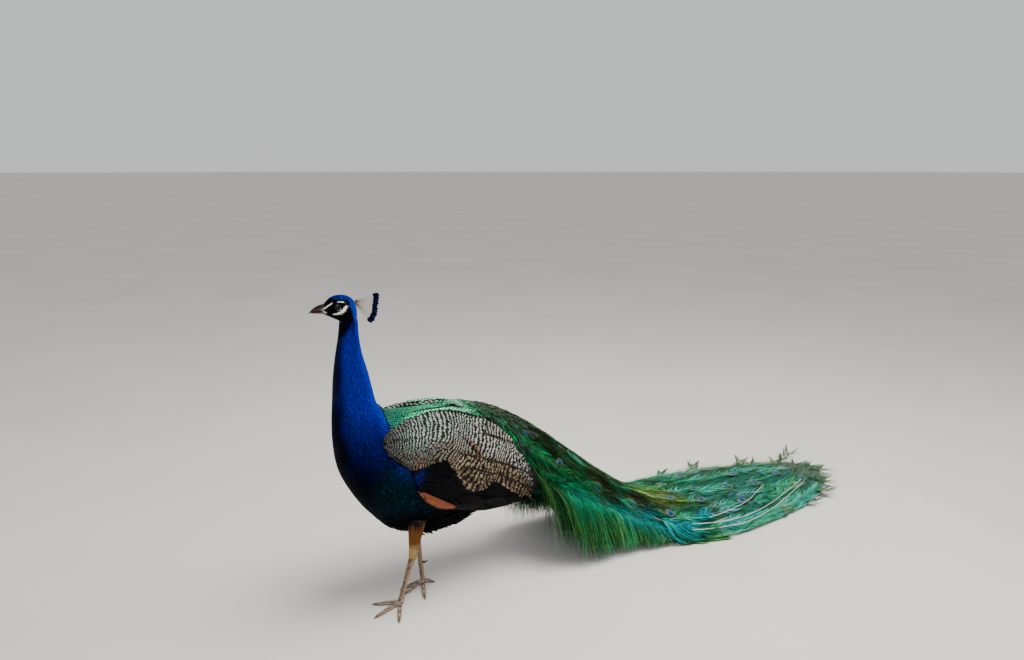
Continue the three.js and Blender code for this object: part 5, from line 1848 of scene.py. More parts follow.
def held(points):
    """Draws in whatever reaches far past the sides of the frame's box."""
    low, high = cad_box[0][0] - 0.001, cad_box[1][0] + 0.001
    x = points[..., 0]
    x = np.where(x > high, high + 0.020 * np.tanh((x - high) / 0.04), x)
    x = np.where(x < low, low - 0.020 * np.tanh((low - x) / 0.04), x)
    return np.stack([x, points[..., 1], points[..., 2]], -1)


class Train:
    """The train's top as a surface, with a place for each y and share of the half width."""

    def __init__(self):
        count = 300
        self.form = Form(train_grid(count, 121, REACH), False)
        self.rows = curve(TRAIN, count)
        self.places = np.linspace(0, 1, count)

    def spot(self, y, share):
        return np.interp(y, self.rows[:, 0], self.places), (np.asarray(share) / REACH + 1) / 2

    def place(self, y, share):
        """Points on the train's top, in the bird's own mm."""
        return millimetres(self.form.at(*self.spot(y, share))[0])

    def shape(self, y, column):
        return np.interp(y, self.rows[:, 0], self.rows[:, column])

    def marks(self, v, u):
        """Places on the unwrap of the train's top."""
        return unwrapped(u, v)


def train_tone(y, share, points):
    """Colour of the barbs: bronze ridge, teal flanks, turquoise edges, mixed in the fan."""
    out = np.abs(share)
    wave = ripple(points, 150, 21)
    fine = ripple(points, 55, 22)
    green, teal = chosen("train_green"), chosen("train_teal")
    edge = chosen("train_edge")
    ridge = blend(chosen("train_bronze"), green, smooth(-0.2, 0.9, fine))
    emerald = np.array([0.6, 1.0, 0.75])
    flank = blend(teal * 1.5 * emerald, teal * 0.8 * emerald + green * 0.25,
                  smooth(-0.2, 0.9, wave))
    # the flanks are darker towards the front, behind the wing: painted shade
    flank = flank * np.interp(y, [330, 480, 560, 660], [0.45, 0.55, 0.85, 1.1])[..., None]
    brink = np.interp(y, [330, 480, 590, 720], [0.66, 0.79, 0.86, 0.88])
    high = blend(ridge * 0.5, flank, smooth(-0.06, 0.08, out - brink + 0.05 * fine))
    edge_row = np.interp(y, [440, 600, 716, 780], [0.95, 0.96, 0.91, 0.80])
    band_here = np.exp(-((out - edge_row) / 0.065) ** 2) * smooth(420, 490, y) * smooth(810, 750, y)
    high = blend(high, blend(teal * 2.6, edge * 2.6, smooth(560, 700, y + 60 * fine)),
                 np.clip(band_here * 1.1, 0, 1))
    second = np.exp(-((out
                       - np.interp(y, [762, 880, 1004], [0.99, 0.86, 0.63])) / 0.07) ** 2) * smooth(
        735, 775, y) * smooth(1040, 980, y) * (share > 0)
    fan = blend(green * 1.6, tone("#34c09a") * 1.5, smooth(-0.3, 0.7, fine + 0.4 * wave))
    fan = blend(fan, tone("#8fae50"),
                smooth(0.25, 1.1, wave - 0.3 * fine) * smooth(-0.3, 0.1, share) * 0.6)
    fan = fan * (0.7 + 0.5 * smooth(-0.5, 0.1, share) * smooth(920, 1040, y))[..., None]
    fan = fan * (1 - 0.5 * smooth(0, -0.3, share) * smooth(1140, 1020, y))[..., None]
    fan = blend(fan, tone("#9fb89a"), smooth(-0.30, -0.72, share) * smooth(1050, 1240, y) * 0.5)
    tint = blend(high, fan, smooth(760, 900, y))
    tint = blend(tint, edge * 1.2, np.clip(second * 1.1, 0, 1))
    tint = blend(tint, tone("#cbdcb8"), smooth(1490, 1650, y) * 0.55)
    # strands lie together in locks, each lighter or darker than the next
    across = share * np.interp(y, [150, 500, 900, 1300, 1700], [90, 190, 235, 240, 130])
    lane = np.stack([across * 7, y, across * 0], -1)
    lock = ripple(lane, 62, 41) + 0.6 * ripple(lane, 30, 42)
    olive = (smooth(760, 830, y) * smooth(1010, 930, y) * smooth(0.62, 0.4, out)
             * smooth(-0.35, 0, share))
    tint = blend(tint, tone("#8cb43c"), olive * 0.75)
    depth = np.interp(y, [600, 800], [0.9, 1.1]) - 0.75 * np.clip(band_here + second, 0, 1)
    light = np.where(y < 760, 0.2 + 0.7 * smooth(-0.06, 0.08, out - brink), 0.9)
    return np.minimum(tint * np.exp(depth * np.clip(lock, -1.8, light))[..., None], 0.9)


BARB_BOW = 0.45  # how far a barb turns back to the feather's line towards its tip


def barbs(coat, train, y, share, lean, length, width, tints, draw, rise, root=0.55, tip=1.2,
          above=0.0, climb=0.0):
    """Lays loose barbs from roots at y and share, leaning off the train's line."""
    v, u = train.spot(y, share)
    steps, part = outline(HAIR)
    centres, normals = train.form.path(v, u, length, lean, steps, BARB_BOW)
    base = (draw.uniform(*rise, len(y)) + above)[:, None] * MM
    loose = 0.0018 + 0.0032 * smooth(700, 1000, y)[:, None]
    lift = base + (draw.normal(0.4, 1.0, (len(y), 1)) * loose
                   + climb * draw.uniform(-0.3, 1.0, (len(y), 1))) * steps[None] ** 1.5
    centres = centres + normals * lift[..., None]
    centres[..., 2] = np.maximum(centres[..., 2], 0.0012)
    centres = held(centres)
    colour = tints[:, None] * (root + (tip - root) * steps[None])[..., None]
    coat.add(centres, normals, width[:, None] * 0.5 * part[None], colour, train.marks(v, u), 0.35,
             edge=0.9, seed=draw.uniform(0, 1, len(y)))


def train_feathers(draw):
    """Roots of the eyed feathers: the ones placed one by one and staggered tiers between them."""
    y, row = 255.0, 0
    spots = list(EYESPOTS)
    while y < 1620:
        step = np.interp(y, [255, 800, 1600], [44, 58, 74])
        count = int(np.interp(y, [255, 500, 900, 1300, 1600], [4, 6, 7, 6, 4]))
        places = (np.arange(count) + 0.5 * (row % 2) + 0.25) / count * 2 - 1
        for share in places:
            spot = (y + draw.uniform(-16, 16),
                    float(np.clip(share + draw.normal(0, 0.05), -0.93, 0.93)))
            wide = np.interp(spot[0], [250, 800, 1700], [70, 190, 200])
            gaps = [math.hypot(spot[0] - a, (spot[1] - b) * wide) for a, b in EYESPOTS]
            if min(gaps) > 62:
                spots.append(spot)
        y += step
        row += 1
    return np.array(spots)


def eyespot_material():
    """Eyespot vane: rings of violet, turquoise, bronze and gold barbs with a metallic gloss."""
    material, tree = new_material("iridescent_eyespot_barbs")
    lines, parts = barb_lines(tree, 0.8, 0.5)
    tint = put(tree, "ShaderNodeAttribute", attribute_name="Tint").outputs["Color"]
    size = bpy.context.scene.peacock_sizes.eyespot * 1000 / 2
    away = put(tree, "ShaderNodeMath", {0: parts.outputs[1], 1: size * 1.12}, operation="SUBTRACT")
    part_y = put(tree, "ShaderNodeMath", {0: away.outputs[0], 1: 1 / (size * 1.15)},
                 operation="MULTIPLY")
    part_x = put(tree, "ShaderNodeMath", {0: parts.outputs[0], 1: 1 / size}, operation="MULTIPLY")
    place = put(tree, "ShaderNodeCombineXYZ", {0: part_x.outputs[0], 1: part_y.outputs[0]})
    far = put(tree, "ShaderNodeVectorMath", {0: place.outputs[0]}, operation="LENGTH")
    # the violet centre has a notch towards the feather's root
    notch = put(tree, "ShaderNodeMapRange",
                {0: part_y.outputs[0], 1: -0.1, 2: -0.5, 3: 0.0, 4: 0.22})
    straight = put(tree, "ShaderNodeMath", {0: part_x.outputs[0]}, operation="ABSOLUTE")
    narrow = put(tree, "ShaderNodeMapRange",
                 {0: straight.outputs[0], 1: 0.22, 2: 0.0, 3: 0.0, 4: 1.0})
    dent = put(tree, "ShaderNodeMath",
               {0: notch.outputs[0], 1: narrow.outputs[0], 2: far.outputs["Value"]},
               operation="MULTIPLY_ADD")
    ragged = put(tree, "ShaderNodeMath", {0: lines, 1: 0.10, 2: dent.outputs[0]},
                 operation="MULTIPLY_ADD")
    colour = put(tree, "ShaderNodeValToRGB", {0: ragged.outputs[0]}, ramped([
        (0.0, "#04032a"), (0.38, "#0b1274"), (0.47, "#0a44b0"), (0.54, "#0e7c98"),
        (0.63, "#12806a"), (0.70, "#4a3c1c"), (0.84, "#5e5228"), (0.90, "#5f6a34"),
        (1.0, "#225f36")]))
    mixed = put(tree, "ShaderNodeVectorMath", {0: colour.outputs[0], 1: tint}, operation="MULTIPLY")
    rise = put(tree, "ShaderNodeBump", {"Height": lines, "Strength": 0.4, "Distance": 0.0004})
    surface(tree, mixed.outputs[0], rise.outputs[0], metallic=0.5, roughness=0.36)
    return material


EYED = ((0, 0.12), (0.1, 0.55), (0.25, 0.86), (0.42, 1.0), (0.6, 0.98), (0.77, 0.82), (0.9, 0.52),
        (1, 0.1))


def make_train_web():
    """The dense underlayer of the train: a closed sheet just inside its top, dark as painted shade
    under the barbs.
    """
    rows = curve(TRAIN, 150)
    y, centre, ridge, edge, width = (c[:, None] for c in rows.T)
    u = np.linspace(-1, 1, 41)[None]
    floor = np.maximum(edge, 3)
    top = floor + (ridge - floor) * arch(np.abs(u))
    depth = 5.5 + 7 * smooth(500, 200, y)
    up = np.maximum(top - depth, 2.5)
    low = np.maximum(up - np.interp(y, [150, 400, 900], [12, 24, 60]) * (1 - 0.8 * np.abs(u) ** 2),
                     1.0)
    x = centre + u * width * np.interp(y, [600, 900], [0.97, 0.90])
    deep = np.broadcast_to(y, x.shape)
    ring = np.concatenate([np.stack([x, deep, up], -1), np.stack([x, deep, low], -1)[:, ::-1]], 1)
    keep = rows[:, 0] > 175
    web = lofted("train_web", [ring[keep]])
    place = millimetres(vertex_arrays(web)[0])
    grain = ripple(place * [3, 0.4, 3], 30, 23)[:, None]
    paint(web, "Tint", tone("#08180f") * (1 + 0.4 * grain))
    # Matted bases of the train's barbs: matt, streaked along, and dark as painted shade under the
    # barbs
    material, tree = new_material("matted_train_barb_bases")
    spot = put(tree, "ShaderNodeTexCoord").outputs["Object"]
    long = put(tree, "ShaderNodeMapping", {"Vector": spot, "Scale": (520, 40, 300)})
    streak = put(tree, "ShaderNodeTexNoise",
                 {"Vector": long.outputs[0], "Scale": 1.0, "Detail": 3.0})
    rise = put(tree, "ShaderNodeBump", {"Height": streak.outputs[0], "Strength": 0.8,
                                        "Distance": 0.002})
    surface(tree, shaded_tint(tree, streak.outputs[0], (0.35, 0.65), (0.3, 1.9)), rise.outputs[0],
            roughness=0.75, specular_ior_level=0.2)
    finish(web, material, "train_feathers",
           tuple(n for n in frame["nodes"] if n.startswith("train_")))


def make_train_scales(train, draw):
    """Scale-like feathers over the front of the train, each with a dark bronze heart."""
    coat = Coat()
    y, row = 152.0, 0
    found = []
    while y < 470:
        width = train.shape(y, 4)
        gap = 9 + 5 * smooth(160, 420, y)
        arc = 2 * width * 1.15
        count = max(5, int(arc / (gap * 0.95)))
        share = ((np.arange(count) + 0.5 * (row % 2) + 0.25) / count * 2 - 1) * 0.99
        found.append(np.stack([y + draw.uniform(-3, 3, count), share + draw.normal(0, 0.02, count),
                               np.full(count, gap)], -1))
        y += gap * 0.9
        row += 1
    y, share, gap = np.concatenate(found).T
    keep = draw.uniform(0, 1, len(y)) > smooth(300, 460, y + 90 * np.abs(share))
    y, share, gap = y[keep], share[keep], gap[keep]
    v, u = train.spot(y, share)
    steps, part = outline(SCALE)
    length = gap * 0.0027 * draw.uniform(0.85, 1.25, len(y))
    lean = draw.normal(0, 0.12, len(y)) + 0.12 * share
    centres, normals = train.form.path(v, u, length, lean, steps)
    lift = MM * (0.5 + 4.5 * steps[None] + draw.uniform(0, 2.5, (len(y), 1)))
    centres = centres + normals * lift[..., None]
    tint = blend(tone("#1b5230"), tone("#2f3a1a"),
                 np.clip(draw.normal(0.35, 0.3, len(y)), 0, 1)) * 0.75
    tint = blend(tint, tone("#105040"), smooth(0.45, 0.85, np.abs(share)) * 0.7)
    tint = blend(tint, tone("#3f9468"), smooth(205, 165, y) * 0.8)
    tint = vary(tint, draw, 0.45, 0.08)
    ends = np.array([0.10, 0.2, 0.85, 1.4])[None, :, None]
    coat.add(centres, normals, gap[:, None] * 0.00062 * part[None], tint[:, None] * ends,
             train.marks(v, u), 0.16, 0.05, 0.7, seed=draw.uniform(0, 1, len(y)))
    material = plumage("golden_green_scale_barbs", 0.5, 0.38, 0.9, (0.5, 1.5), bump=0.0005)
    coat.piece("train_scales", material, "train_feathers")


LOOSE_BARBS = 26000  # over the whole fan
EDGE_TUFTS = (240, 15)  # tufts along the fan's edges, and the threads in each
FRINGE_LOCKS = (420, 10)  # locks that hang on each side, and the barbs in each
BARBS_PER_SPOT = 22  # round each eyespot
# The loose barbs are three pieces: y where each starts and ends
TRAIN_PARTS = {"train_barbs_front": (0, 660), "train_barbs_middle": (660, 1130),
               "train_barbs_rear": (1130, 2000)}


def train_parts(y):
    """The pieces that have barbs rooted at y, each with which of the barbs are its own."""
    picks = {name: (y >= start) & (y < end) for name, (start, end) in TRAIN_PARTS.items()}
    return [(name, pick) for name, pick in picks.items() if pick.any()]


def make_train():
    train = Train()
    make_train_web()
    draw = draws(20)
    make_train_scales(train, draw)
    sizes = bpy.context.scene.peacock_sizes
    spots = train_feathers(draw)
    y0, share0 = spots.T
    count = len(spots)
    rising = smooth(250, 560, y0)

    # each eyed feather: barbs stand off the last stretch of its shaft
    stretch = 62 + 70 * rising
    per = np.maximum((stretch / (sizes.barb_pitch * 1000)).astype(int), 8)
    which = np.repeat(np.arange(count), per * 2)
    t = np.concatenate([np.tile(np.linspace(0, 1, n), 2) for n in per])
    sign = np.concatenate([np.repeat([-1, 1], n) for n in per])
    hue = np.exp(draw.normal(0, 0.3, (count, 1))) * np.exp(draw.normal(0, 0.12, (count, 3)))
    root_y = y0[which] - stretch[which] * (1 - t) - 12
    root_share = share0[which] + draw.normal(0, 0.006, len(t))
    lean = sign * (0.28 + 0.5 * draw.uniform(0, 1, len(t)) ** 1.3 + 0.25 * (1 - t))
    lean += draw.normal(0, 0.2, count)[which]
    length = (sizes.barb_length * (0.72 + 0.45 * draw.uniform(0, 1, len(t)))
              * (0.6 + 0.4 * rising[which]))
    place = train.place(root_y, root_share)
    tint = vary(train_tone(root_y, root_share, place) * hue[which], draw, 0.5, 0.07)
    coats = {name: Coat() for name in TRAIN_PARTS}
    width = 0.0017 + 0.0014 * draw.uniform(0, 1, len(t)) ** 2
    height = draw.uniform(0.5, 7.5, count)[which] * smooth(300, 800, root_y) + 1.0
    for name, pick in train_parts(root_y):
        barbs(coats[name], train, root_y[pick], root_share[pick], lean[pick], length[pick],
              width[pick], tint[pick], draw, (0.0, 4.0), above=height[pick])

    # loose barbs between them, thick enough to hide the layer below, painted darker as shade under
    # the barbs over them, most at the root
    n = LOOSE_BARBS
    pool = draw.uniform(0, 1, (n, 4))
    root_y = np.interp(pool[:, 0], [0, 0.12, 0.5, 1], [300, 440, 860, 1700])
    root_share = (pool[:, 1] * 2 - 1) * np.interp(root_y, [300, 900, 1500, 1700],
                                                  [0.98, 0.95, 0.95, 0.88])
    lean = draw.normal(0, 0.42, n) + 0.25 * np.sign(root_share) * np.abs(root_share) ** 3
    length = sizes.barb_length * (0.7 + 0.6 * pool[:, 2]) * np.interp(root_y, [300, 600], [0.7, 1])
    place = train.place(root_y, root_share)
    tint = vary(train_tone(root_y, root_share, place), draw, 0.4, 0.12)
    pale = (pool[:, 3] > 0.93)[:, None]
    tint = np.where(pale, blend(tint, tone("#b9b36a"), np.full(n, 0.55)), tint)
    width = 0.0012 + 0.0011 * pool[:, 3]
    for name, pick in train_parts(root_y):
        barbs(coats[name], train, root_y[pick], root_share[pick], lean[pick], length[pick],
              width[pick], tint[pick] * 0.5, draw, (-2.0, 3.5), root=0.3, tip=1.2)

    # ragged tufts of threads stand up and out along the edges of the fan
    tufts, each = EDGE_TUFTS
    pool = np.repeat(draw.uniform(0, 1, (tufts, 5)), each, 0)
    n = tufts * each
    root_y = 790 + 890 * pool[:, 0] + draw.normal(0, 7, n)
    root_share = (np.where(pool[:, 1] > 0.42, -1, 1)
                  * (0.84 + 0.15 * pool[:, 2] + draw.normal(0, 0.012, n)))
    place = train.place(root_y, root_share)
    tint = (vary(train_tone(root_y, root_share, place), draw, 0.35, 0.1)
            * (0.35 + 0.9 * pool[:, 4:5]))
    lean = np.sign(root_share) * (-0.1 + 1.0 * pool[:, 3]) + draw.normal(0, 0.16, n)
    long = 0.045 + 0.045 * pool[:, 2] * draw.uniform(0.6, 1.1, n)
    for name, pick in train_parts(root_y):
        barbs(coats[name], train, root_y[pick], root_share[pick], lean[pick], long[pick],
              np.full(int(pick.sum()), 0.0014), tint[pick], draw, (3.0, 9.0), climb=0.016)

    # Train barbs: loose keratin threads with a metallic green gloss
    gloss = plumage("iridescent_train_barbs", 0.55, 0.42, 1.2, (0.7, 1.25), bump=0.0002,
                    specular_ior_level=0.12)
    make_fishtails(train, coats["train_barbs_rear"], draw)
    for name, coat in coats.items():
        coat.piece(name, gloss, "train_feathers")
    make_fringe(train, gloss, draw)
    make_shafts(train, spots, draw)
    shown = (np.arange(count) < len(EYESPOTS)) | (draw.uniform(0, 1, count) < SPOTS_SHOWN)
    make_eyespots(train, spots[shown], draw)


def make_eyespots(train, spots, draw):
    """One vane for each eyespot, with a ring of bronze barbs round it."""
    size = bpy.context.scene.peacock_sizes.eyespot
    y, share = spots.T
    count = len(y)
    small = 0.55 + 0.45 * smooth(250, 620, y)
    steps, part = outline(EYED)
    v, u = train.spot(y - size * 560 * small, share)
    length = size * 1.16 * small
    lean = draw.normal(0, 0.16, count)
    centres, normals = train.form.path(v, u, length, lean, steps)
    sunk = np.where(np.arange(count) < len(EYESPOTS),
                    2.8 + 2 * smooth(560, 700, y) + 6 * smooth(700, 950, y),
                    draw.uniform(0.5, 5.0, count) + 3 * smooth(700, 950, y))
    centres = centres + normals * (MM * (sunk[:, None] + 1.5 * steps[None]))[..., None]
    coat = Coat()
    along = (size * 1160 * steps)[None] + np.zeros((count, 1))
    half = size * 0.5 * small[:, None] * part[None]
    dim = np.interp(y, [480, 600, 900], [0.55, 0.9, 1.2])[:, None]
    coat.add(centres, normals, half, vary(np.ones((count, 3)) * dim, draw, 0.1, 0.03),
             train.marks(v, u),
             0.10, 0.05, 1.0, along=along, seed=draw.uniform(0, 1, count))
    # the pattern runs over the full size, so small spots carry it whole
    marks = coat.groups[0][2]
    marks[..., 0] /= small[:, None, None]
    coat.piece("train_eyespots", eyespot_material(), "train_feathers")
    ring = Coat()
    per = BARBS_PER_SPOT
    which = np.repeat(np.arange(count), per)
    angle = np.tile(np.linspace(-2.4, 2.4, per), count) + draw.normal(0, 0.06, count * per)
    radius = size * 400 * small[which]
    root_y = y[which] + np.cos(angle) * radius
    half_width = train.shape(root_y, 4)
    root_share = share[which] + np.sin(angle) * radius / half_width
    tint = vary(np.tile(tone("#7d7430"), (count * per, 1)), draw, 0.3, 0.12)
    green = draw.uniform(0, 1, count * per) > 0.5
    tint = np.where(green[:, None], vary(np.tile(tone("#2f8f4c"), (count * per, 1)), draw, 0.3),
                    tint)
    tint = tint * np.interp(root_y, [480, 800], [0.35, 1.0])[:, None]
    barbs(ring, train, root_y, root_share, np.clip(angle * 0.6, -1.1, 1.1),
          0.020 * small[which] * draw.uniform(0.8, 1.3, count * per), np.full(count * per, 0.0014),
          tint, draw, (4.5, 6.5))
    ring.piece("train_eye_barbs", bpy.data.materials["iridescent_train_barbs"], "train_feathers")


def make_shafts(train, spots, draw):
    """Pale shafts of the train feathers, and the long bare white ones."""
    coat = Coat()
    y, share = spots.T
    steps = np.linspace(0, 1, 6)
    reach = 90 + 80 * smooth(250, 600, y)
    line_y = y[:, None] - reach[:, None] * (1 - steps[None])
    line_share = share[:, None] + draw.normal(0, 0.02, (len(y), 1)) * (1 - steps[None])
    v, u = train.spot(line_y, line_share)
    centres, normals = train.form.at(v, u)
    centres = centres + normals * 0.0048
    tint = (vary(np.tile(tone("#b7b08a"), (len(y), 1)), draw, 0.15)
            * (0.2 + 0.8 * smooth(600, 760, y))[:, None])
    coat.add(centres, normals, np.linspace(0.0007, 0.0004, 6)[None], tint,
             train.marks(*train.spot(y - reach, share)), 1.0, edge=0.9)
    for points in WHITE_SHAFTS:
        line = curve(points, 28)
        v, u = train.spot(line[:, 0], line[:, 1])
        centres, normals = train.form.at(v, u)
        centres = (centres + normals * 0.009 + [0, 0, 0.009])[None]
        coat.add(centres, normals[None], np.linspace(0.0012, 0.0007, 28)[None],
                 tone("#e6e8dc")[None], train.marks(v[:1], u[:1]), 1.0, edge=0.95)
    # Feather shafts: smooth ivory keratin
    material = plumage("ivory_feather_shafts", 0.0, 0.35, 4.0, (0.9, 1.1), bump=0.0001)
    coat.piece("train_shafts", material, "train_feathers")


def make_fringe(train, material, draw):
    """Hair-like barbs that hang from both edges of the train to the floor."""
    steps = np.linspace(0, 1, 5)
    rows = len(steps)
    for side, sign in (("L", 1), ("R", -1)):
        locks, each = FRINGE_LOCKS
        n = locks * each
        pool = np.repeat(draw.uniform(0, 1, (locks, 5)), each, 0)
        own = draw.uniform(0, 1, (n, 5))
        y = np.interp(pool[:, 0], [0, 0.04, 0.12, 0.5, 0.85, 1],
                      [385, 440, 490, 620, 790, 980]) + draw.normal(
            0, 6, n)
        share = sign * (0.955 + 0.10 * pool[:, 1] + draw.normal(0, 0.01, n))
        v, u = train.spot(y, share)
        root, normal = train.form.at(v, u)
        height = np.maximum(root[:, 2] * 1000, 40)
        length = height * (0.32 + 0.40 * pool[:, 2] + 0.40 * own[:, 2]) * np.interp(
            y, [385, 430, 500], [0.6, 0.85, 1.0])
        aft = -0.35 + 1.0 * pool[:, 3] + 0.35 * own[:, 3] + 0.5 * smooth(650, 900, y)
        start = unit(np.stack([sign * (0.30 + 0.45 * pool[:, 4]), aft, np.full(n, -0.6)], -1))
        end = unit(np.stack([sign * (0.02 + 0.35 * own[:, 4]), aft * 0.3 + 0.3 * (own[:, 1] - 0.5),
                             np.full(n, -1.0)], -1))
        run = np.zeros((n, rows, 3))
        for k in range(1, rows):
            way = start * (1 - steps[k]) + end * steps[k]
            run[:, k] = run[:, k - 1] + unit(way) * length[:, None] / (rows - 1)
        centres = root[:, None] + run * MM + normal[:, None] * 0.0015
        # what would pass the floor lies along it instead
        low = 0.0015 + 0.004 * own[:, 4][:, None]
        under = np.maximum(low - centres[..., 2], 0)
        centres[..., 0] += sign * under * 0.55
        centres[..., 1] += under * 0.65
        centres[..., 2] = np.maximum(centres[..., 2], low)
        facing = unit(np.stack([np.full(n, sign * 1.0), draw.normal(0, 0.5, n), np.full(n, 0.35)],
                               -1))
        facing = np.broadcast_to(facing[:, None], centres.shape)
        centres = held(centres)
        # locks rooted further out hang under the others and are painted darker, as shade
        deep = np.clip(1.5 * pool[:, 1] + 0.4 * (own[:, 0] - 0.5), 0, 1)
        tint = blend(tone("#22602f"), tone("#03120a"), deep)
        # a few strands are lightened: painted highlights
        tint = blend(tint, tone("#567a38"), (own[:, 4] > 0.85) * 0.7)
        tint = blend(tint, tone("#0c8058"),
                     smooth(0.6, 0.95, pool[:, 2]) * smooth(420, 560, y) * 0.6)
        tint = tint * np.exp(
            0.6 * np.clip(draw.normal(0, 0.9, (locks, 1)), -2, 1.4)).repeat(each, 0)
        tint = vary(tint * (1.1 + 0.2 * smooth(440, 560, y))[:, None], draw, 0.55, 0.1)
        # darker at the root, painted shade under the train's edge, and lighter along the strands,
        # painted light
        shade = np.array([0.5, 0.8, 1.05, 1.2, 1.25])[None, :, None]
        teal = blend(np.tile(tone("#0a9c74"), (n, 1)), tone("#06a0a6"), smooth(600, 720, y)) * 1.3
        near_root = (smooth(420, 520, y)
                     * smooth(880, 800, y))[:, None] * np.array([1, 0.5, 0.08, 0, 0])
        coat = Coat()
        coat.add(centres, facing,
                 (0.0004 + 0.0005 * own[:, 2:3] ** 2) * np.array([1, 0.9, 0.7, 0.5, 0.15])[None],
                 blend(tint[:, None] * shade, vary(teal, draw, 0.3, 0.08)[:, None],
                       near_root * 0.75),
                 train.marks(v, u), 0.4, edge=0.9, seed=pool[:, 0])
        coat.piece(f"train_fringe_{side}", material, "train_feathers")


def make_fishtails(train, coat, draw):
    """Forked tips: barbs flare off the end of a shaft into two points."""
    tips = [(1690 - 150 * u * u, 0, math.degrees(1.05 * u), 60, 136 + 100 * u) for u in
            np.linspace(-1, 1, 7)]
    tips += [(y, share, heading, reach, None) for y, share, heading, reach in FISHTAILS]
    for y, share, heading, reach, x in tips:
        if x is None:
            v, u = train.spot(np.array([y]), np.array([share]))
            start = millimetres(train.form.at(v, u)[0])[0] + [0, 0, 6]
        else:
            start = np.array([x, y, 10.0])
            v, u = train.spot(np.array([y]), np.array([0.0]))
        a = math.radians(heading)
        way = np.array([math.sin(a) + 0.1, math.cos(a), 0])
        way /= np.linalg.norm(way)
        side = np.array([way[1], -way[0], 0])
        mark = train.marks(v, u)
        steps = np.linspace(0, 1, 6)
        end_z = 12 + draw.uniform(0, 16) + 30 * (reach > 80)
        line = start + way * ((steps * (reach + 34) - 34)[:, None])
        line[:, 2] = start[2] * (1 - steps) + end_z * steps
        up = np.tile([0, 0, 1.0], (1, 6, 1))
        coat.add(held(metres(line))[None], up, np.full((1, 6), 0.0010), tone("#a9a88a")[None], mark,
                 1.0)
        n = 46
        t = np.linspace(0, 1, n)
        hand = np.where(np.arange(n) % 2, 1, -1)
        root = start + way * (reach * (-0.2 + 1.2 * t))[:, None]
        root[:, 2] = start[2] * (1 - t) + end_z * t
        lean = 1.2 - 0.4 * t + draw.normal(0, 0.08, n)
        long = 20 + 44 * t ** 1.5 + draw.uniform(-4, 4, n)
        steps, part = outline(LOOSE)
        out = way * np.cos(lean)[:, None] + side * (np.sin(lean) * hand)[:, None]
        bend = way - out
        path = (root[:, None] + (out[:, None] * steps[None, :, None]
                                 + bend[:, None] * 0.35 * steps[None, :, None] ** 2)
                * long[:, None, None])
        path[..., 2] += draw.uniform(-4, 12, (n, 1)) * steps[None] * (1 + 2 * (reach > 80))
        path[..., 2] = np.maximum(path[..., 2], 1.5)
        tint = vary(blend(np.tile(tone("#1d6a4c"), (n, 1)), tone("#7d8a5c"), t * 0.4), draw, 0.4,
                    0.1)
        coat.add(held(metres(path)), np.broadcast_to([0, 0, 1.0], path.shape), 0.0021 * part[None],
                 tint, np.repeat(mark, n, 0), 0.3)


# ------------------------------------------------------------------ tail
TAIL_FEATHERS = 14


def make_tail():
    """Stiff brown-grey tail feathers fanned under the train."""
    draw = draws(30)
    coat = Coat()
    rows = 14
    table = curve(TAIL, rows)
    for k in range(TAIL_FEATHERS):
        share = -1 + 2 * k / (TAIL_FEATHERS - 1)
        layer = 0.5 + 2.4 * (1 - abs(share))
        line = np.stack([table[:, 0] * 0.02 + share * table[:, 2], table[:, 0],
                         table[:, 1] - 16 * share ** 2 - 2 - layer], -1)
        along = unit(np.gradient(line, axis=0))
        up = unit(np.cross(np.cross(along, [0, 0, 1.0]), along))
        width = np.interp(np.linspace(0, 1, rows), [0, 0.25, 0.85, 1], [7, 11.5, 12.5, 3.5]) * MM
        tint = vary(tone("#5b4c3c")[None], draw, 0.12, 0.03)
        coat.add(metres(line)[None], up[None], width[None], tint,
                 np.array([[0.05 + 0.9 * k / (TAIL_FEATHERS - 1), 0.1]]), 0.10, 0.05, 0.8)
    # Tail vanes: brown-grey, stiff and matt
    stiff = plumage("brown_tail_barbs", 0.0, 0.6, 1.0, (0.7, 1.25), specular_ior_level=0.3)
    coat.piece("tail_vanes", stiff, "tail_feathers")
    base = inner_layer("tail_base", ("tail",), 0.003, 0.0022,
                       bpy.data.materials["shadowed_feather_bases"], "tail_feathers")
    paint(base, "Tint", np.tile(tone("#2a231b"), (len(base.data.vertices), 1)))


# ------------------------------------------------------------------ operators
class PEACOCK_OT_stage(Operator):
    """Add the pale floor, the soft lights and the camera"""
    bl_idname = "peacock.stage"
    bl_label = "Stage"

    def execute(self, context):
        make_stage()
        return {"FINISHED"}


class PEACOCK_OT_skin(Operator):
    """Make the skin under the feathers, with the bare face"""
    bl_idname = "peacock.skin"
    bl_label = "Skin"

    def execute(self, context):
        make_skin()
        return {"FINISHED"}


class PEACOCK_OT_face(Operator):
    """Make the eyes, their lids, the bill and the crest"""
    bl_idname = "peacock.face"
    bl_label = "Eyes, bill and crest"

    def execute(self, context):
        make_eyes()
        make_bill()
        make_crest()
        return {"FINISHED"}


class PEACOCK_OT_head_feathers(Operator):
    """Lay the smallest feathers over the head"""
    bl_idname = "peacock.head_feathers"
    bl_label = "Head feathers"

    def execute(self, context):
        make_head_feathers()
        return {"FINISHED"}


class PEACOCK_OT_body_feathers(Operator):
    """Lay the feathers of neck, breast, belly and mantle"""
    bl_idname = "peacock.body_feathers"
    bl_label = "Body feathers"

    def execute(self, context):
        make_body_feathers()
        return {"FINISHED"}


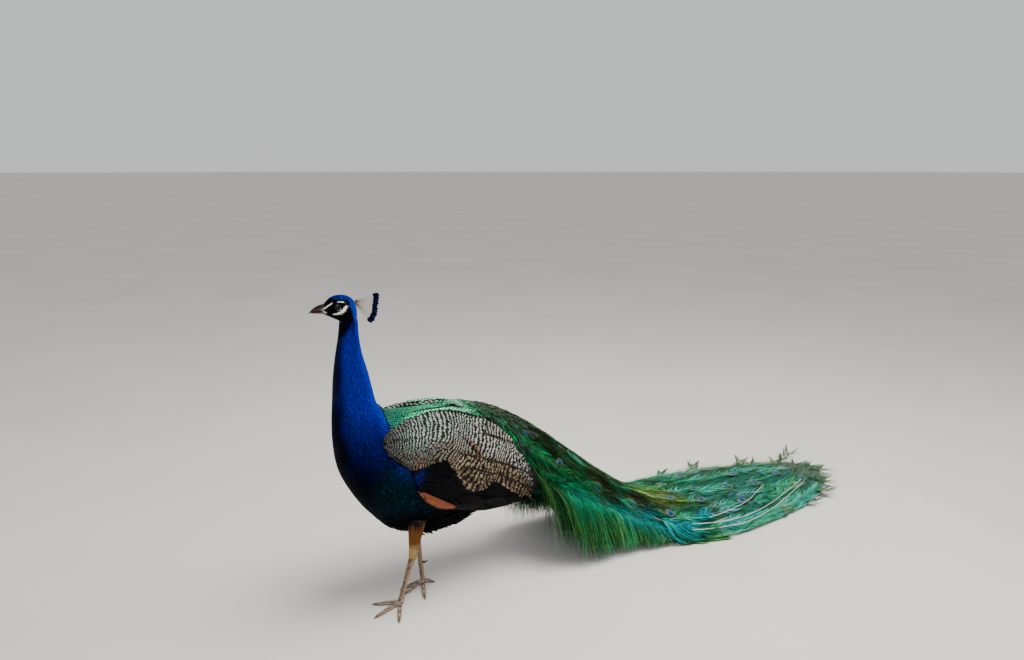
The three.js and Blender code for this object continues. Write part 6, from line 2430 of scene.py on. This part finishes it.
class PEACOCK_OT_legs(Operator):
    """Make the thighs' down, the scaled legs, the spurs and the claws"""
    bl_idname = "peacock.legs"
    bl_label = "Legs"

    def execute(self, context):
        make_thigh_down()
        make_legs()
        return {"FINISHED"}


class PEACOCK_OT_wings(Operator):
    """Lay the barred, dark and rufous feathers of the folded wings"""
    bl_idname = "peacock.wings"
    bl_label = "Wings"

    def execute(self, context):
        make_wings()
        make_cape()
        return {"FINISHED"}


class PEACOCK_OT_train(Operator):
    """Make the train's base, its scale-like front, shafts, barbs, eyespots, tips and fringe"""
    bl_idname = "peacock.train"
    bl_label = "Train"

    def execute(self, context):
        make_train()
        return {"FINISHED"}


class PEACOCK_OT_tail(Operator):
    """Make the stiff brown tail feathers under the train"""
    bl_idname = "peacock.tail"
    bl_label = "Tail"

    def execute(self, context):
        make_tail()
        return {"FINISHED"}


STEPS = (PEACOCK_OT_stage, PEACOCK_OT_skin, PEACOCK_OT_face, PEACOCK_OT_head_feathers,
         PEACOCK_OT_body_feathers, PEACOCK_OT_legs, PEACOCK_OT_wings, PEACOCK_OT_train,
         PEACOCK_OT_tail)


class PEACOCK_PT_sidebar(Panel):
    bl_label = "Peacock"
    bl_idname = "PEACOCK_PT_sidebar"
    bl_space_type = "VIEW_3D"
    bl_region_type = "UI"
    bl_category = "Peacock"

    def draw(self, context):
        scene = context.scene
        for group in (scene.peacock_colours, scene.peacock_sizes, scene.peacock_stage):
            box = self.layout.box()
            for name in group.__annotations__:
                box.prop(group, name)
        for step in STEPS:
            self.layout.operator(step.bl_idname)


GROUPS = {"peacock_colours": PeacockColours, "peacock_sizes": PeacockSizes,
          "peacock_stage": PeacockStage}


def register():
    for made in (*GROUPS.values(), *STEPS, PEACOCK_PT_sidebar):
        bpy.utils.register_class(made)
    for name, group in GROUPS.items():
        setattr(bpy.types.Scene, name, PointerProperty(type=group))


def unregister():
    for name in GROUPS:
        delattr(bpy.types.Scene, name)
    for made in reversed((*GROUPS.values(), *STEPS, PEACOCK_PT_sidebar)):
        bpy.utils.unregister_class(made)


def main():
    register()
    for step in STEPS:
        family, action = step.bl_idname.split(".")
        getattr(getattr(bpy.ops, family), action)()


if __name__ == "__main__":
    main()
